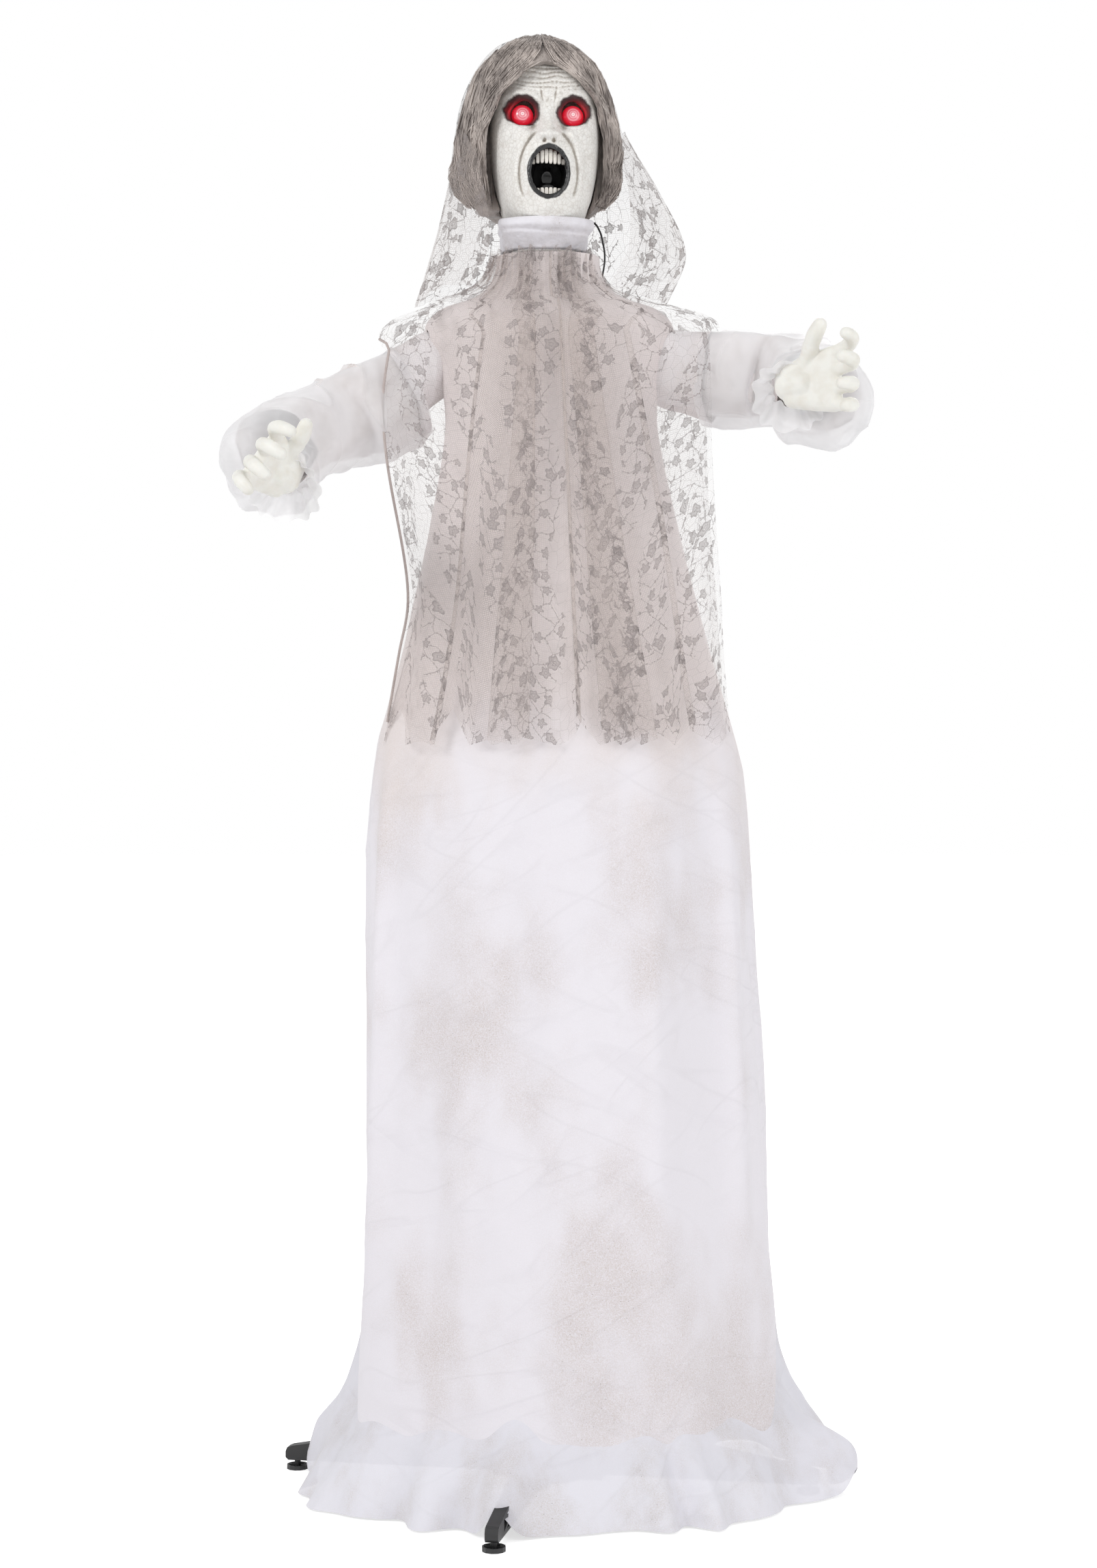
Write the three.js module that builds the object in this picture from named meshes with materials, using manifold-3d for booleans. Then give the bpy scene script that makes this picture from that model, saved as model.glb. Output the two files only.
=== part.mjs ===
// A standing animated banshee prop: base, pole, chest box with head drive, posable arms, moulded head
// and cloth
// Millimetres, +Z up. The figure faces -Y, its left side is +X, the origin is on the floor under the pole.
import * as THREE from 'three';
import { mergeVertices } from 'three/addons/utils/BufferGeometryUtils.js';
import Module from 'manifold-3d';

const wasm = await Module();
wasm.setup();

// Clearances and working allowances
const seatGap = 0.3; // between pieces that touch
const weldDistance = 0.001;
const cutOverrun = 6;

// Base: hub, four ribbed legs and disc feet
const hubUnderside = 6;
const hubHeight = 92;
const hubRadius = 34;
const hubFlangeRadius = 44;
const hubFlangeHeight = 8;
const hubSocketReach = 70;
const hubSocketWall = 4;
const legTurn = 11; // degrees that the cross of legs is turned on the pole
const legReach = 344;
const legWidth = 16;
const legTongueStart = 42;
const legUnderside = 12;
const legTipHeight = 18;
const legRootHeight = 66;
const legTipRound = 7;
const legRail = 3.5;
const legRib = 3;
const legWeb = 6;
const legBays = 3;
const footRadius = 14;
const footHeight = 5.5;
const footRim = 2;
const footDish = 2.6;
const footStemRadius = 4;
const footStemDepth = 7;
const footInset = 14;
const footRibs = 4;
const footRibWidth = 1.4;

// Pole: three tube sections, each with a swaged end that enters the next
const poleRadius = 12.5;
const poleWall = 1.3;
const poleFoot = 20;
const lowerPoleTop = 480;
const middlePoleTop = 940;
const swageLength = 60;
const buttonRadius = 3;
const buttonStand = 3.2;
const buttonLeafLength = 38;
const buttonLeafWidth = 6;
const buttonLeafThickness = 0.8;

// Chest box with the head drive
const boxWidth = 120;
const boxDepth = 64;
const boxHeight = 160;
const boxTop = 1470;
const boxBottom = boxTop - boxHeight;
const boxWall = 2.5;
const drivePlateRise = 102; // above the box's bottom, as the next heights are
const drivePlateUnderside = boxBottom + drivePlateRise;
const drivePlateThickness = 3;
const neckX = -6;
const neckShaftRadius = 4;
const neckCollarRadius = 8;
const neckCollarHeight = 2.4;
const gearRise = 108;
const gearUnderside = boxBottom + gearRise;
const gearHeight = 8;
const gearTeeth = 18;
const pinionTeeth = 6;
const gearModule = 2.6;
const toothAddendum = 2.1;
const toothDedendum = 2.9;
const motorRadius = 12;
const motorLength = 34;
const motorBossRadius = 3;
const motorShaftRadius = 1.5;
const speakerRadius = 24;
const speakerDepth = 13;
const speakerRise = 36;
const speakerHeight = boxBottom + speakerRise;
const grilleSlotWidth = 2.4;
const grilleSlots = 5;
const cellRadius = 7.25;
const cellLength = 50.5;
const cellPitch = 15.5;
const cellButtonRadius = 2.7;
const cellButtonHeight = 1.2;
const cellCount = 3;
const bayRise = 6;
const bayFloor = boxBottom + bayRise;
const bayWall = 1;
const doorWidth = 52;
const doorHeight = 56;
const doorThickness = 2;
const doorBarrelRadius = 1.8;
const doorBarrelStand = 2.2;
const doorBarrelLength = 20;
const doorEarWidth = 4;
const switchX = 38;
const switchRise = 86;
const switchHeight = boxBottom + switchRise;
const switchKnobWidth = 6;
const switchKnobHeight = 4;
const switchKnobStand = 2.5;
const switchTravel = 4;
const switchPlateMargin = 3;
const switchPlateThickness = 1.4;
const boardDepth = 44;
const boardHeight = 56;
const boardThickness = 1.6;
const boardRise = 14;
const boardFoot = boxBottom + boardRise;
const chipSize = 12;
const chipThickness = 2.4;

// Arms
const shoulderX = 150;
const shoulderY = 14;
const shoulderDrop = 25; // below the box's top
const shoulderHeight = boxTop - shoulderDrop;
const barRadius = 9.5;
const barWall = 1.2;
const barSocketRadius = 13;
const barSocketLength = 26;
const knuckleRadius = 12;
const tongueThickness = 10;
const cheekThickness = 4;
const knuckleNeck = 14;
const pinRadius = 3;
const pinHeadRadius = 5;
const pinHeadHeight = 2;
const armTubeRadius = 8;
const upperArmLength = 165;
const forearmLength = 222;
const wristInsert = 20;
const armPoses = {
  left: {
    side: 1,
    upper: [0.942, -0.324, -0.087],
    fore: [-0.095, -0.931, -0.354],
    hand: [0.82, -0.57, 0.06],
    thumb: [0, 0, 1],
    cuff: { lean: 34, tall: 57, wide: 58, top: 27 },
  },
  right: {
    side: -1,
    upper: [-0.835, -0.288, -0.47],
    fore: [-0.117, -0.829, -0.547],
    hand: [-0.37, -0.87, 0.3],
    thumb: [0.6, 0, 0.8],
    cuff: { lean: 32, tall: 60, wide: 56, top: 40 },
  },
};

// Hands: lengths of one moulded hand
const palmLength = 72;
const palmWidth = 80;
const palmThickness = 24;
const wristRadius = 15;
const fingerLength = 74;
const fingerRadius = 9;
const thumbLength = 58;
const fingerSpread = 0.5;

// Head: a moulded mask and back shell
const headTurn = 4; // degrees
const neckLength = 80; // from the box's top to the chin
const headBottom = boxTop + neckLength;
const headHeight = 256;
const headHeightShares = {
  veilBottom: -0.1797,
  bandBottom: 0.0039,
  bandTop: 0.1758,
  bracket: 0.1953,
  lead: 0.1953,
  wigBottom: 0.2109,
  shaftTop: 0.2422,
  mouth: 0.3477,
  noseTip: 0.5234,
  eyes: 0.6406,
  noseRoot: 0.6641,
  hairline: 0.8828,
  wigTop: 1.0938,
  veilOpening: 1.1719,
};
const onHead = (place) => headBottom + headHeightShares[place] * headHeight;
const neckShaftTop = onHead('shaftTop');
const headHalfWidth = 67.5;
const headFront = 93;
const headBack = 88;
const maskWall = 3;
const eyeHeight = onHead('eyes');
const eyeSpread = 31.5;
const socketDepth = 15;
const socketWidth = 21;
const socketTall = 18;
const lensRadius = 14.3;
const lensFront = 75;
const lensBack = 60;
const lensWall = 1.5;
const lidRimWall = 3;
const lampRadius = 2.5;
const lampLength = 8;
const lampDiscThickness = 2;
const noseTip = onHead('noseTip');
const noseRoot = onHead('noseRoot');
const noseReach = 17;
const noseHalfWidth = 9;
const mouthHeight = onHead('mouth');
const mouthHalfWidth = 22.5;
const mouthHalfHeight = 28.5;
const lipRise = 4.5;
const lipWidth = 6;
const browRise = 5;
const cheekRise = 4;
const teethFront = 88.5;
const teethDepth = 5;
const toothLength = 9;
const linerFront = 82.6;
const linerDepth = 34;
const linerWall = 2.5;
const headBracketHeight = onHead('bracket');
const headBracketThickness = 4;
const headBracketWidth = 60;
const headBossRadius = 10;
const headBossLength = 22;
const bandWidth = 54.5; // outer radius of the neck band
const bandBottom = onHead('bandBottom');
const bandTop = onHead('bandTop');
const bandEase = 2;
const bandGap = 1.2;
const wigBottom = onHead('wigBottom');
const wigTop = onHead('wigTop');
const wigHalfWidth = 101;
const wigFront = 98;
const wigBack = 105;
const wigX = -7;
const wigWave = 3;
const wigGap = 0.5;
const hairlineTop = onHead('hairline');
const hairlineHalfWidth = 67;
const hairCutDepth = 16;
const veilBottom = onHead('veilBottom');
const veilHalfWidth = 166;
const veilFront = 112;
const veilBack = 122;
const veilWall = 2.5;
const veilOpeningHalfWidth = 92;
const veilOpeningTop = onHead('veilOpening');
const veilWave = 4;
const veilSideDrop = 14;

// Cloth
const clothWall = 3;
const gownHem = 87;
const gownRise = 27; // of the collar above the box
const gownTop = boxTop + gownRise;
const gownHalfWidth = 268;
const gownHalfDepth = 215;
const gownLean = 22; // the hem hangs to the figure's left
const gownFold = 9;
const armholeDrop = 57;
const armholeBottom = shoulderHeight - armholeDrop;
const armholeReach = 60;
const skirtBottom = 2.6;
const skirtFlareX = 66;
const skirtFlareY = 50;
const skirtFlareTop = 250;
const frontPanelEdge = -90;
const skirtInset = 2;
const skirtFold = 11;
const legArchMargin = 7;
const ponchoHem = 930;
const ponchoNeckGap = 2;
const ponchoTop = headBottom - ponchoNeckGap;
const ponchoHalfWidth = 225;
const ponchoHalfDepth = 152;
const ponchoFold = 7;
const ponchoSag = 14;
const ponchoLean = 14;
const ponchoSlotHalf = 75;
const ponchoPointHeight = 44;
const ponchoPoints = 9;
const necklineDip = 10;
const necklineEase = 24;
const leadRadius = 2.2;
const leadHoleX = 46;
const leadHoleY = 20;
const leadHoleHeight = onHead('lead');
const leadBow = 28; // how far the lead swings out beside the neck
const leadEndY = 3;
const leadEndGap = 0.8;
const sleeveTopGap = 0.4;
const sleeveHalf = 50;
const sleeveFold = 2.5;
const sleeveSquare = 0.85;

// Face counts
const roundSides = 12;
const smallSides = 8;
const gownSides = 28; // seven to each leg
const ponchoSides = 28;
const hairSides = 24;
const headSides = 18;
const sleeveSides = 12;
const palmSides = 10;

// A faceted rod turns in a hole whose flats stand clear of its corners
const turningHole = (radius) => (radius + seatGap) / Math.cos(Math.PI / smallSides);
const neckHoleRadius = turningHole(neckShaftRadius);
const degrees = THREE.MathUtils.degToRad;
const sum = (values) => values.reduce((total, value) => total + value, 0);

// Materials
const finish = (color, roughness, metalness = 0) =>
  new THREE.MeshStandardMaterial({ color, roughness, metalness });
const blackPlastic = () => finish(0x1a1a1b, 0.45);
const steel = () => finish(0x9a9c9e, 0.35, 0.9);
const maskVinyl = () => finish(0xf2f0ec, 0.6);
const handVinyl = () => finish(0xf0f0ec, 0.5);
const gownCloth = () => finish(0xe9e6ea, 0.9);
const laceCloth = () => finish(0xa8a3a3, 0.9);
const hair = () => finish(0x8c8583, 0.8);
const redLens = () => finish(0xe0102a, 0.2);
const toothPaint = () => finish(0xd8d0c8, 0.35);
const mouthPaint = () => finish(0x1c1b1c, 0.4);

// Solids: joining, cutting and skinning
function toSolid(geometry) {
  const bare = new THREE.BufferGeometry();
  bare.setAttribute('position', geometry.getAttribute('position').clone());
  if (geometry.index) bare.setIndex(geometry.index.clone());
  const merged = mergeVertices(bare, weldDistance);
  return new wasm.Manifold(new wasm.Mesh({
    numProp: 3,
    vertProperties: new Float32Array(merged.attributes.position.array),
    triVerts: new Uint32Array(merged.index.array),
  }));
}

function toGeometry(solid) {
  const mesh = solid.getMesh();
  const geometry = new THREE.BufferGeometry();
  const points = new Float32Array(mesh.numVert * 3);
  for (let i = 0; i < mesh.numVert; i += 1) {
    for (let k = 0; k < 3; k += 1) points[3 * i + k] = mesh.vertProperties[mesh.numProp * i + k];
  }
  geometry.setAttribute('position', new THREE.BufferAttribute(points, 3));
  geometry.setIndex(new THREE.BufferAttribute(new Uint32Array(mesh.triVerts), 1));
  return geometry;
}

const join = (...pieces) => toGeometry(pieces.map(toSolid).reduce((a, b) => a.add(b)));
const cut = (base, ...tools) => toGeometry(tools.map(toSolid).reduce((a, b) => a.subtract(b), toSolid(base)));

// A skin through rings of points: closed on itself, or capped at both ends
function skin(rings, closed = false) {
  const count = rings[0].length;
  const points = rings.flat();
  const faces = [];
  const spans = closed ? rings.length : rings.length - 1;
  for (let i = 0; i < spans; i += 1) {
    const low = i * count;
    const high = ((i + 1) % rings.length) * count;
    for (let j = 0; j < count; j += 1) {
      const next = (j + 1) % count;
      faces.push(low + j, low + next, high + next, low + j, high + next, high + j);
    }
  }
  if (!closed) {
    const middle = (ring) => ring.reduce((a, p) => a.add(p), new THREE.Vector3()).divideScalar(ring.length);
    const first = points.push(middle(rings[0])) - 1;
    const last = points.push(middle(rings.at(-1))) - 1;
    const top = (rings.length - 1) * count;
    for (let j = 0; j < count; j += 1) {
      const next = (j + 1) % count;
      faces.push(first, next, j, last, top + j, top + next);
    }
  }
  return indexed(points, faces);
}

function indexed(points, faces) {
  const geometry = new THREE.BufferGeometry();
  geometry.setAttribute('position',
    new THREE.Float32BufferAttribute(points.flatMap((p) => [p.x, p.y, p.z]), 3));
  geometry.setIndex(faces);
  return geometry;
}

// A slab between two grids of points with the same rows and columns
function slab(outer, inner) {
  const rows = outer.length;
  const columns = outer[0].length;
  const points = [...outer.flat(), ...inner.flat()];
  const o = (r, c) => r * columns + c;
  const n = (r, c) => rows * columns + r * columns + c;
  const faces = [];
  const quad = (a, b, c, d) => faces.push(a, b, c, a, c, d);
  for (let r = 0; r < rows - 1; r += 1) {
    for (let c = 0; c < columns - 1; c += 1) {
      quad(o(r, c), o(r, c + 1), o(r + 1, c + 1), o(r + 1, c));
      quad(n(r, c), n(r + 1, c), n(r + 1, c + 1), n(r, c + 1));
    }
    quad(o(r, 0), o(r + 1, 0), n(r + 1, 0), n(r, 0));
    quad(o(r, columns - 1), n(r, columns - 1), n(r + 1, columns - 1), o(r + 1, columns - 1));
  }
  for (let c = 0; c < columns - 1; c += 1) {
    quad(o(0, c), n(0, c), n(0, c + 1), o(0, c + 1));
    quad(o(rows - 1, c), o(rows - 1, c + 1), n(rows - 1, c + 1), n(rows - 1, c));
  }
  return indexed(points, faces);
}

// The inner wall of a cloth or shell: each ring moved in along its own normals
function innerRings(rings, wall) {
  return rings.map((ring, i) => ring.map((point, j) => {
    const along = ring[(j + 1) % ring.length].clone().sub(ring[(j + ring.length - 1) % ring.length]);
    const up = rings[Math.min(i + 1, rings.length - 1)][j].clone().sub(rings[Math.max(i - 1, 0)][j]);
    return point.clone().addScaledVector(along.cross(up).normalize(), -wall);
  }));
}

const clothShell = (rings, wall) => skin([...rings, ...innerRings(rings, wall).reverse()], true);

// One ring of a body: a rounded oval, wider or deeper by its fold
function oval({ z, x = 0, y = 0, width, front, back, sides, power = 2, phase = 0, fold = () => 0 }) {
  const ring = [];
  for (let j = 0; j < sides; j += 1) {
    const angle = phase + (2 * Math.PI * j) / sides;
    const c = Math.cos(angle);
    const s = Math.sin(angle);
    const extra = fold(angle);
    const depth = s < 0 ? front : back;
    ring.push(new THREE.Vector3(
      x + (width + extra) * Math.sign(c) * Math.abs(c) ** (2 / power),
      y + (depth + extra) * Math.sign(s) * Math.abs(s) ** (2 / power),
      typeof z === 'function' ? z(angle) : z,
    ));
  }
  return ring;
}

// Smooth reading of a table whose first column rises
function readShares(rows, at, column) {
  const last = rows.length - 1;
  if (at <= rows[0][0]) return rows[0][column];
  if (at >= rows[last][0]) return rows[last][column];
  const i = rows.findIndex((row) => row[0] > at) - 1;
  const share = (at - rows[i][0]) / (rows[i + 1][0] - rows[i][0]);
  return rows[i][column] + (rows[i + 1][column] - rows[i][column]) * share;
}

const hump = (distance, spread) => Math.exp(-((distance / spread) ** 2));

// Plain shapes placed by their middle
const block = (width, depth, height, x = 0, y = 0, z = 0) =>
  new THREE.BoxGeometry(width, depth, height).translate(x, y, z);
const rod = (radius, length, sides = roundSides) => new THREE.CylinderGeometry(radius, radius, length, sides);
const rodX = (radius, length, x, y, z, sides) =>
  rod(radius, length, sides).rotateZ(degrees(90)).translate(x, y, z);
const rodY = (radius, length, x, y, z, sides) => rod(radius, length, sides).translate(x, y, z);
const rodZ = (radius, length, x, y, z, sides) =>
  rod(radius, length, sides).rotateX(degrees(90)).translate(x, y, z);

// A turned piece about Z from radius and height pairs
function turned(profile, sides = roundSides) {
  return new THREE.LatheGeometry(profile.map(([r, z]) => new THREE.Vector2(r, z)), sides)
    .rotateX(degrees(90));
}

// A flat outline pushed along Z or along -Y
function pushed(outline, depth, holes = []) {
  const shape = new THREE.Shape(outline.map(([x, y]) => new THREE.Vector2(x, y)));
  holes.forEach((hole) => shape.holes.push(new THREE.Path(hole.map(([x, y]) => new THREE.Vector2(x, y)))));
  return new THREE.ExtrudeGeometry(shape, { depth, bevelEnabled: false, steps: 1, curveSegments: 1 });
}
const pushedForward = (outline, depth, back) =>
  pushed(outline, depth).rotateX(degrees(90)).translate(0, -back, 0);

const model = new THREE.Group();

function add(name, geometry, material, parent = model) {
  const mesh = new THREE.Mesh(geometry, material);
  mesh.name = name;
  parent.add(mesh);
  return mesh;
}

// Hub: a turned boss with four leg sockets and the pole socket
const legTop = (reach) => {
  const share = (legReach - reach) / (legReach - hubSocketReach);
  return legUnderside + legTipHeight + (legRootHeight - legTipHeight) * share;
};

function hub() {
  const top = hubUnderside + hubHeight;
  const boss = turned([
    [0, hubUnderside],
    [hubFlangeRadius, hubUnderside],
    [hubFlangeRadius, hubUnderside + hubFlangeHeight],
    [hubRadius, hubUnderside + 2 * hubFlangeHeight],
    [hubRadius, top - hubFlangeHeight],
    [hubRadius - hubSocketWall, top],
    [0, top],
  ], 2 * smallSides);
  const socketHeight = legRootHeight + hubSocketWall + legUnderside - hubUnderside;
  const sockets = [];
  const slots = [];
  for (let i = 0; i < 4; i += 1) {
    const turn = degrees(90 * i - legTurn);
    const socketWidth = legWidth + 2 * hubSocketWall;
    sockets.push(block(hubSocketReach, socketWidth, socketHeight, hubSocketReach / 2, 0,
      hubUnderside + socketHeight / 2)
      .rotateZ(turn));
    const slotLength = hubSocketReach - legTongueStart + seatGap + cutOverrun;
    const slotHeight = legRootHeight - 2 * hubSocketWall + 2 * seatGap;
    const slotMiddle = legUnderside + hubSocketWall + (legRootHeight - 2 * hubSocketWall) / 2;
    slots.push(block(slotLength, legWidth + 2 * seatGap, slotHeight,
      hubSocketReach + cutOverrun - slotLength / 2, 0, slotMiddle)
      .rotateZ(turn));
  }
  const bore = rodZ(poleRadius + seatGap, hubHeight, 0, 0, poleFoot - seatGap + hubHeight / 2);
  return cut(join(boss, ...sockets), bore, ...slots);
}

// Leg: a tapering rail with crossed ribs recessed into both sides, and a tongue that enters the hub
function legOutline() {
  const tipTop = legUnderside + legTipHeight;
  const tongueLow = legUnderside + hubSocketWall;
  const tongueHigh = legUnderside + legRootHeight - hubSocketWall;
  const outline = [[legTongueStart, tongueLow], [hubSocketReach + seatGap, tongueLow],
    [hubSocketReach + seatGap, legUnderside]];
  outline.push([legReach - legTipRound / 2, legUnderside], [legReach, legUnderside + legTipRound / 2]);
  for (let i = 0; i <= 2; i += 1) {
    const turn = degrees(45 * i);
    outline.push([
      legReach - legTipRound + legTipRound * Math.cos(turn),
      tipTop - legTipRound + legTipRound * Math.sin(turn),
    ]);
  }
  outline.push([hubSocketReach + seatGap, legTop(hubSocketReach)], [hubSocketReach + seatGap, tongueHigh]);
  outline.push([legTongueStart, tongueHigh]);
  return outline;
}

function legPockets() {
  const start = hubSocketReach + 2 * legRail;
  const end = legReach - 2 * footInset - legRail;
  const bay = (end - start) / legBays;
  const low = legUnderside + legRail;
  const pockets = [];
  for (let i = 0; i < legBays; i += 1) {
    const corners = [
      [start + i * bay + legRib / 2, low],
      [start + (i + 1) * bay - legRib / 2, low],
      [start + (i + 1) * bay - legRib / 2, legTop(start + (i + 1) * bay) - legRail],
      [start + i * bay + legRib / 2, legTop(start + i * bay) - legRail],
    ];
    const middle = [sum(corners.map((c) => c[0])) / 4, sum(corners.map((c) => c[1])) / 4];
    corners.forEach((corner, k) => {
      const next = corners[(k + 1) % 4];
      pockets.push(shrunkTriangle(corner, next, middle, legRib / 2));
    });
  }
  return pockets;
}

// A triangle whose sides towards its last corner are moved in by a rib's half width
function shrunkTriangle(a, b, c, inset) {
  const centre = [(a[0] + b[0] + c[0]) / 3, (a[1] + b[1] + c[1]) / 3];
  const edge = Math.hypot(b[0] - a[0], b[1] - a[1]);
  const height = Math.abs((b[0] - a[0]) * (c[1] - a[1]) - (b[1] - a[1]) * (c[0] - a[0])) / edge;
  const share = 1 - (3 * inset) / height;
  return [a, b, c].map((p) => [centre[0] + (p[0] - centre[0]) * share,
    centre[1] + (p[1] - centre[1]) * share]);
}

function leg() {
  const body = pushed(legOutline(), legWidth).rotateX(degrees(90)).translate(0, legWidth / 2, 0);
  const depth = (legWidth - legWeb) / 2;
  const cuts = [];
  legPockets().forEach((pocket) => {
    for (const side of [-1, 1]) {
      const middle = side * (legWeb / 2 + (depth + cutOverrun) / 2);
      cuts.push(pushed(pocket, depth + cutOverrun).rotateX(degrees(90))
        .translate(0, middle + (depth + cutOverrun) / 2, 0));
    }
  });
  const stemDepth = footStemDepth + seatGap + cutOverrun;
  const stemHole = rodZ(footStemRadius + seatGap, stemDepth, legReach - footInset, 0,
    legUnderside - cutOverrun + stemDepth / 2);
  return cut(body, stemHole, ...cuts);
}

function foot() {
  const disc = turned([
    [0, 0],
    [footRadius, 0],
    [footRadius, footHeight],
    [footRadius - footRim, footHeight],
    [footRadius - 2 * footRim, footDish],
    [footStemRadius, footDish],
    [footStemRadius, legUnderside + footStemDepth],
    [0, legUnderside + footStemDepth],
  ]);
  const ribLength = footRadius - footRim - footStemRadius / 2;
  const ribs = [];
  for (let i = 0; i < footRibs; i += 1) {
    const rib = block(ribLength, footRibWidth, footHeight - footRim / 2,
      footStemRadius / 2 + ribLength / 2, 0, (footHeight - footRim / 2) / 2 + footRim / 4);
    ribs.push(rib.rotateZ(degrees((360 * i) / footRibs)));
  }
  return join(disc, ...ribs);
}

add('base_hub', hub(), blackPlastic());
['left', 'rear', 'right', 'front'].forEach((name, i) => {
  const arm = new THREE.Group();
  arm.rotation.z = degrees(90 * i - legTurn);
  model.add(arm);
  add(`leg_${name}`, leg(), blackPlastic(), arm);
  const footMesh = add(`foot_${name}`, foot(), blackPlastic(), arm);
  footMesh.position.x = legReach - footInset;
});

// Pole sections with their swaged ends, and the spring buttons that lock them
const swageRadius = poleRadius - poleWall - seatGap;
function poleSection(bottom, top, swage) {
  const inner = poleRadius - poleWall;
  const innerSwage = swageRadius - poleWall;
  const profile = [[inner, bottom], [poleRadius, bottom], [poleRadius, top]];
  if (swage) {
    profile.push([swageRadius, top], [swageRadius, top + swageLength], [innerSwage, top + swageLength]);
    profile.push([innerSwage, top - poleWall], [inner, top - 3 * poleWall]);
  } else {
    profile.push([inner, top]);
  }
  profile.push([inner, bottom]);
  return turned(profile);
}

function buttonHole(height) {
  return rodY(buttonRadius + seatGap, poleRadius, 0, -poleRadius, height, smallSides);
}

const lowerButton = lowerPoleTop + swageLength / 2;
const middleButton = middlePoleTop + swageLength / 2;
add('lower_pole', cut(poleSection(poleFoot, lowerPoleTop, true), buttonHole(lowerButton)), steel());
const middlePole = poleSection(lowerPoleTop + seatGap, middlePoleTop, true);
add('middle_pole', cut(middlePole, buttonHole(lowerButton), buttonHole(middleButton)), steel());
const upperPole = poleSection(middlePoleTop + seatGap, drivePlateUnderside - seatGap, false);
add('upper_pole', cut(upperPole, buttonHole(middleButton)), steel());

function snapButton(height) {
  const leafFront = swageRadius - poleWall - 3 * seatGap;
  const leafMiddle = -leafFront + buttonLeafThickness / 2;
  const leaf = block(buttonLeafWidth, buttonLeafThickness, buttonLeafLength, 0, leafMiddle, height);
  const pinLength = poleRadius + buttonStand - leafFront + buttonLeafThickness / 2;
  const pin = rodY(buttonRadius, pinLength, 0, -(poleRadius + buttonStand) + pinLength / 2, height,
    smallSides);
  return join(leaf, pin);
}
add('snap_button_lower', snapButton(lowerButton), steel());
add('snap_button_upper', snapButton(middleButton), steel());

// Chest box: front and rear covers round the drive, cells and speaker
const boxMiddle = (boxBottom + boxTop) / 2;
const halfDepth = boxDepth / 2;
const innerHalfDepth = halfDepth - boxWall;
const doorFoot = bayFloor - doorThickness;
const cellY = poleRadius + seatGap + bayWall + seatGap + cellRadius;

function coverShell(side) {
  const reach = halfDepth - seatGap / 2;
  const middle = side * (seatGap / 2 + reach / 2);
  const outer = block(boxWidth, reach, boxHeight, 0, middle, boxMiddle);
  const hollow = block(boxWidth - 2 * boxWall, 2 * innerHalfDepth, boxHeight - 2 * boxWall, 0, 0, boxMiddle);
  const neckHole = rodZ(neckHoleRadius, boxWall + 2 * cutOverrun, neckX, 0, boxTop, smallSides);
  const poleHole = rodZ(poleRadius + seatGap, boxWall + 2 * cutOverrun, 0, 0, boxBottom);
  return { outer, cuts: [hollow, neckHole, poleHole] };
}

function frontCover() {
  const { outer, cuts } = coverShell(-1);
  for (let i = 0; i < grilleSlots; i += 1) {
    const offset = (i - (grilleSlots - 1) / 2) * 3 * grilleSlotWidth;
    const reach = Math.sqrt(speakerRadius ** 2 - offset ** 2) - grilleSlotWidth;
    cuts.push(block(2 * reach, 2 * cutOverrun, grilleSlotWidth, 0, -halfDepth, speakerHeight + offset));
  }
  return cut(outer, ...cuts);
}

function rearCover() {
  const { outer, cuts } = coverShell(1);
  const doorMiddle = doorFoot + doorHeight / 2;
  cuts.push(block(doorWidth + 2 * seatGap, 2 * cutOverrun, doorHeight + 2 * seatGap, 0, halfDepth,
    doorMiddle));
  const barHole = rodX(barRadius + seatGap, boxWidth + 2 * cutOverrun, 0, shoulderY, shoulderHeight);
  const slot = block(switchKnobWidth + switchTravel + 2 * seatGap, 2 * cutOverrun,
    switchKnobHeight + 2 * seatGap, switchX + switchTravel / 2, halfDepth, switchHeight);
  cuts.push(barHole, slot);
  const bayWidth = doorWidth + 2 * seatGap;
  const bayY = poleRadius + seatGap + bayWall / 2;
  const bayTop = doorFoot + doorHeight + seatGap;
  const bayHeight = bayTop - boxBottom;
  const partition = block(bayWidth, bayWall, bayHeight, 0, bayY, boxBottom + bayHeight / 2);
  const sideDepth = halfDepth - boxWall / 2 - bayY;
  const bayCheeks = [-1, 1].map((side) => block(bayWall, sideDepth, bayHeight,
    side * (bayWidth / 2 + bayWall / 2 - seatGap / 2), bayY + sideDepth / 2, boxBottom + bayHeight / 2));
  const ears = [-1, 1].map((side) => {
    const x = side * (doorBarrelLength / 2 + seatGap + doorEarWidth / 2);
    const root = block(doorEarWidth, doorBarrelStand + boxWall / 2, 2 * doorBarrelRadius, x,
      halfDepth + doorBarrelStand / 2 - boxWall / 4, doorFoot - doorBarrelRadius - seatGap);
    return join(root, rodX(doorBarrelRadius, doorEarWidth, x, halfDepth + doorBarrelStand,
      doorFoot - doorBarrelRadius, smallSides));
  });
  return join(cut(outer, ...cuts), partition, ...bayCheeks, ...ears);
}

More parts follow.
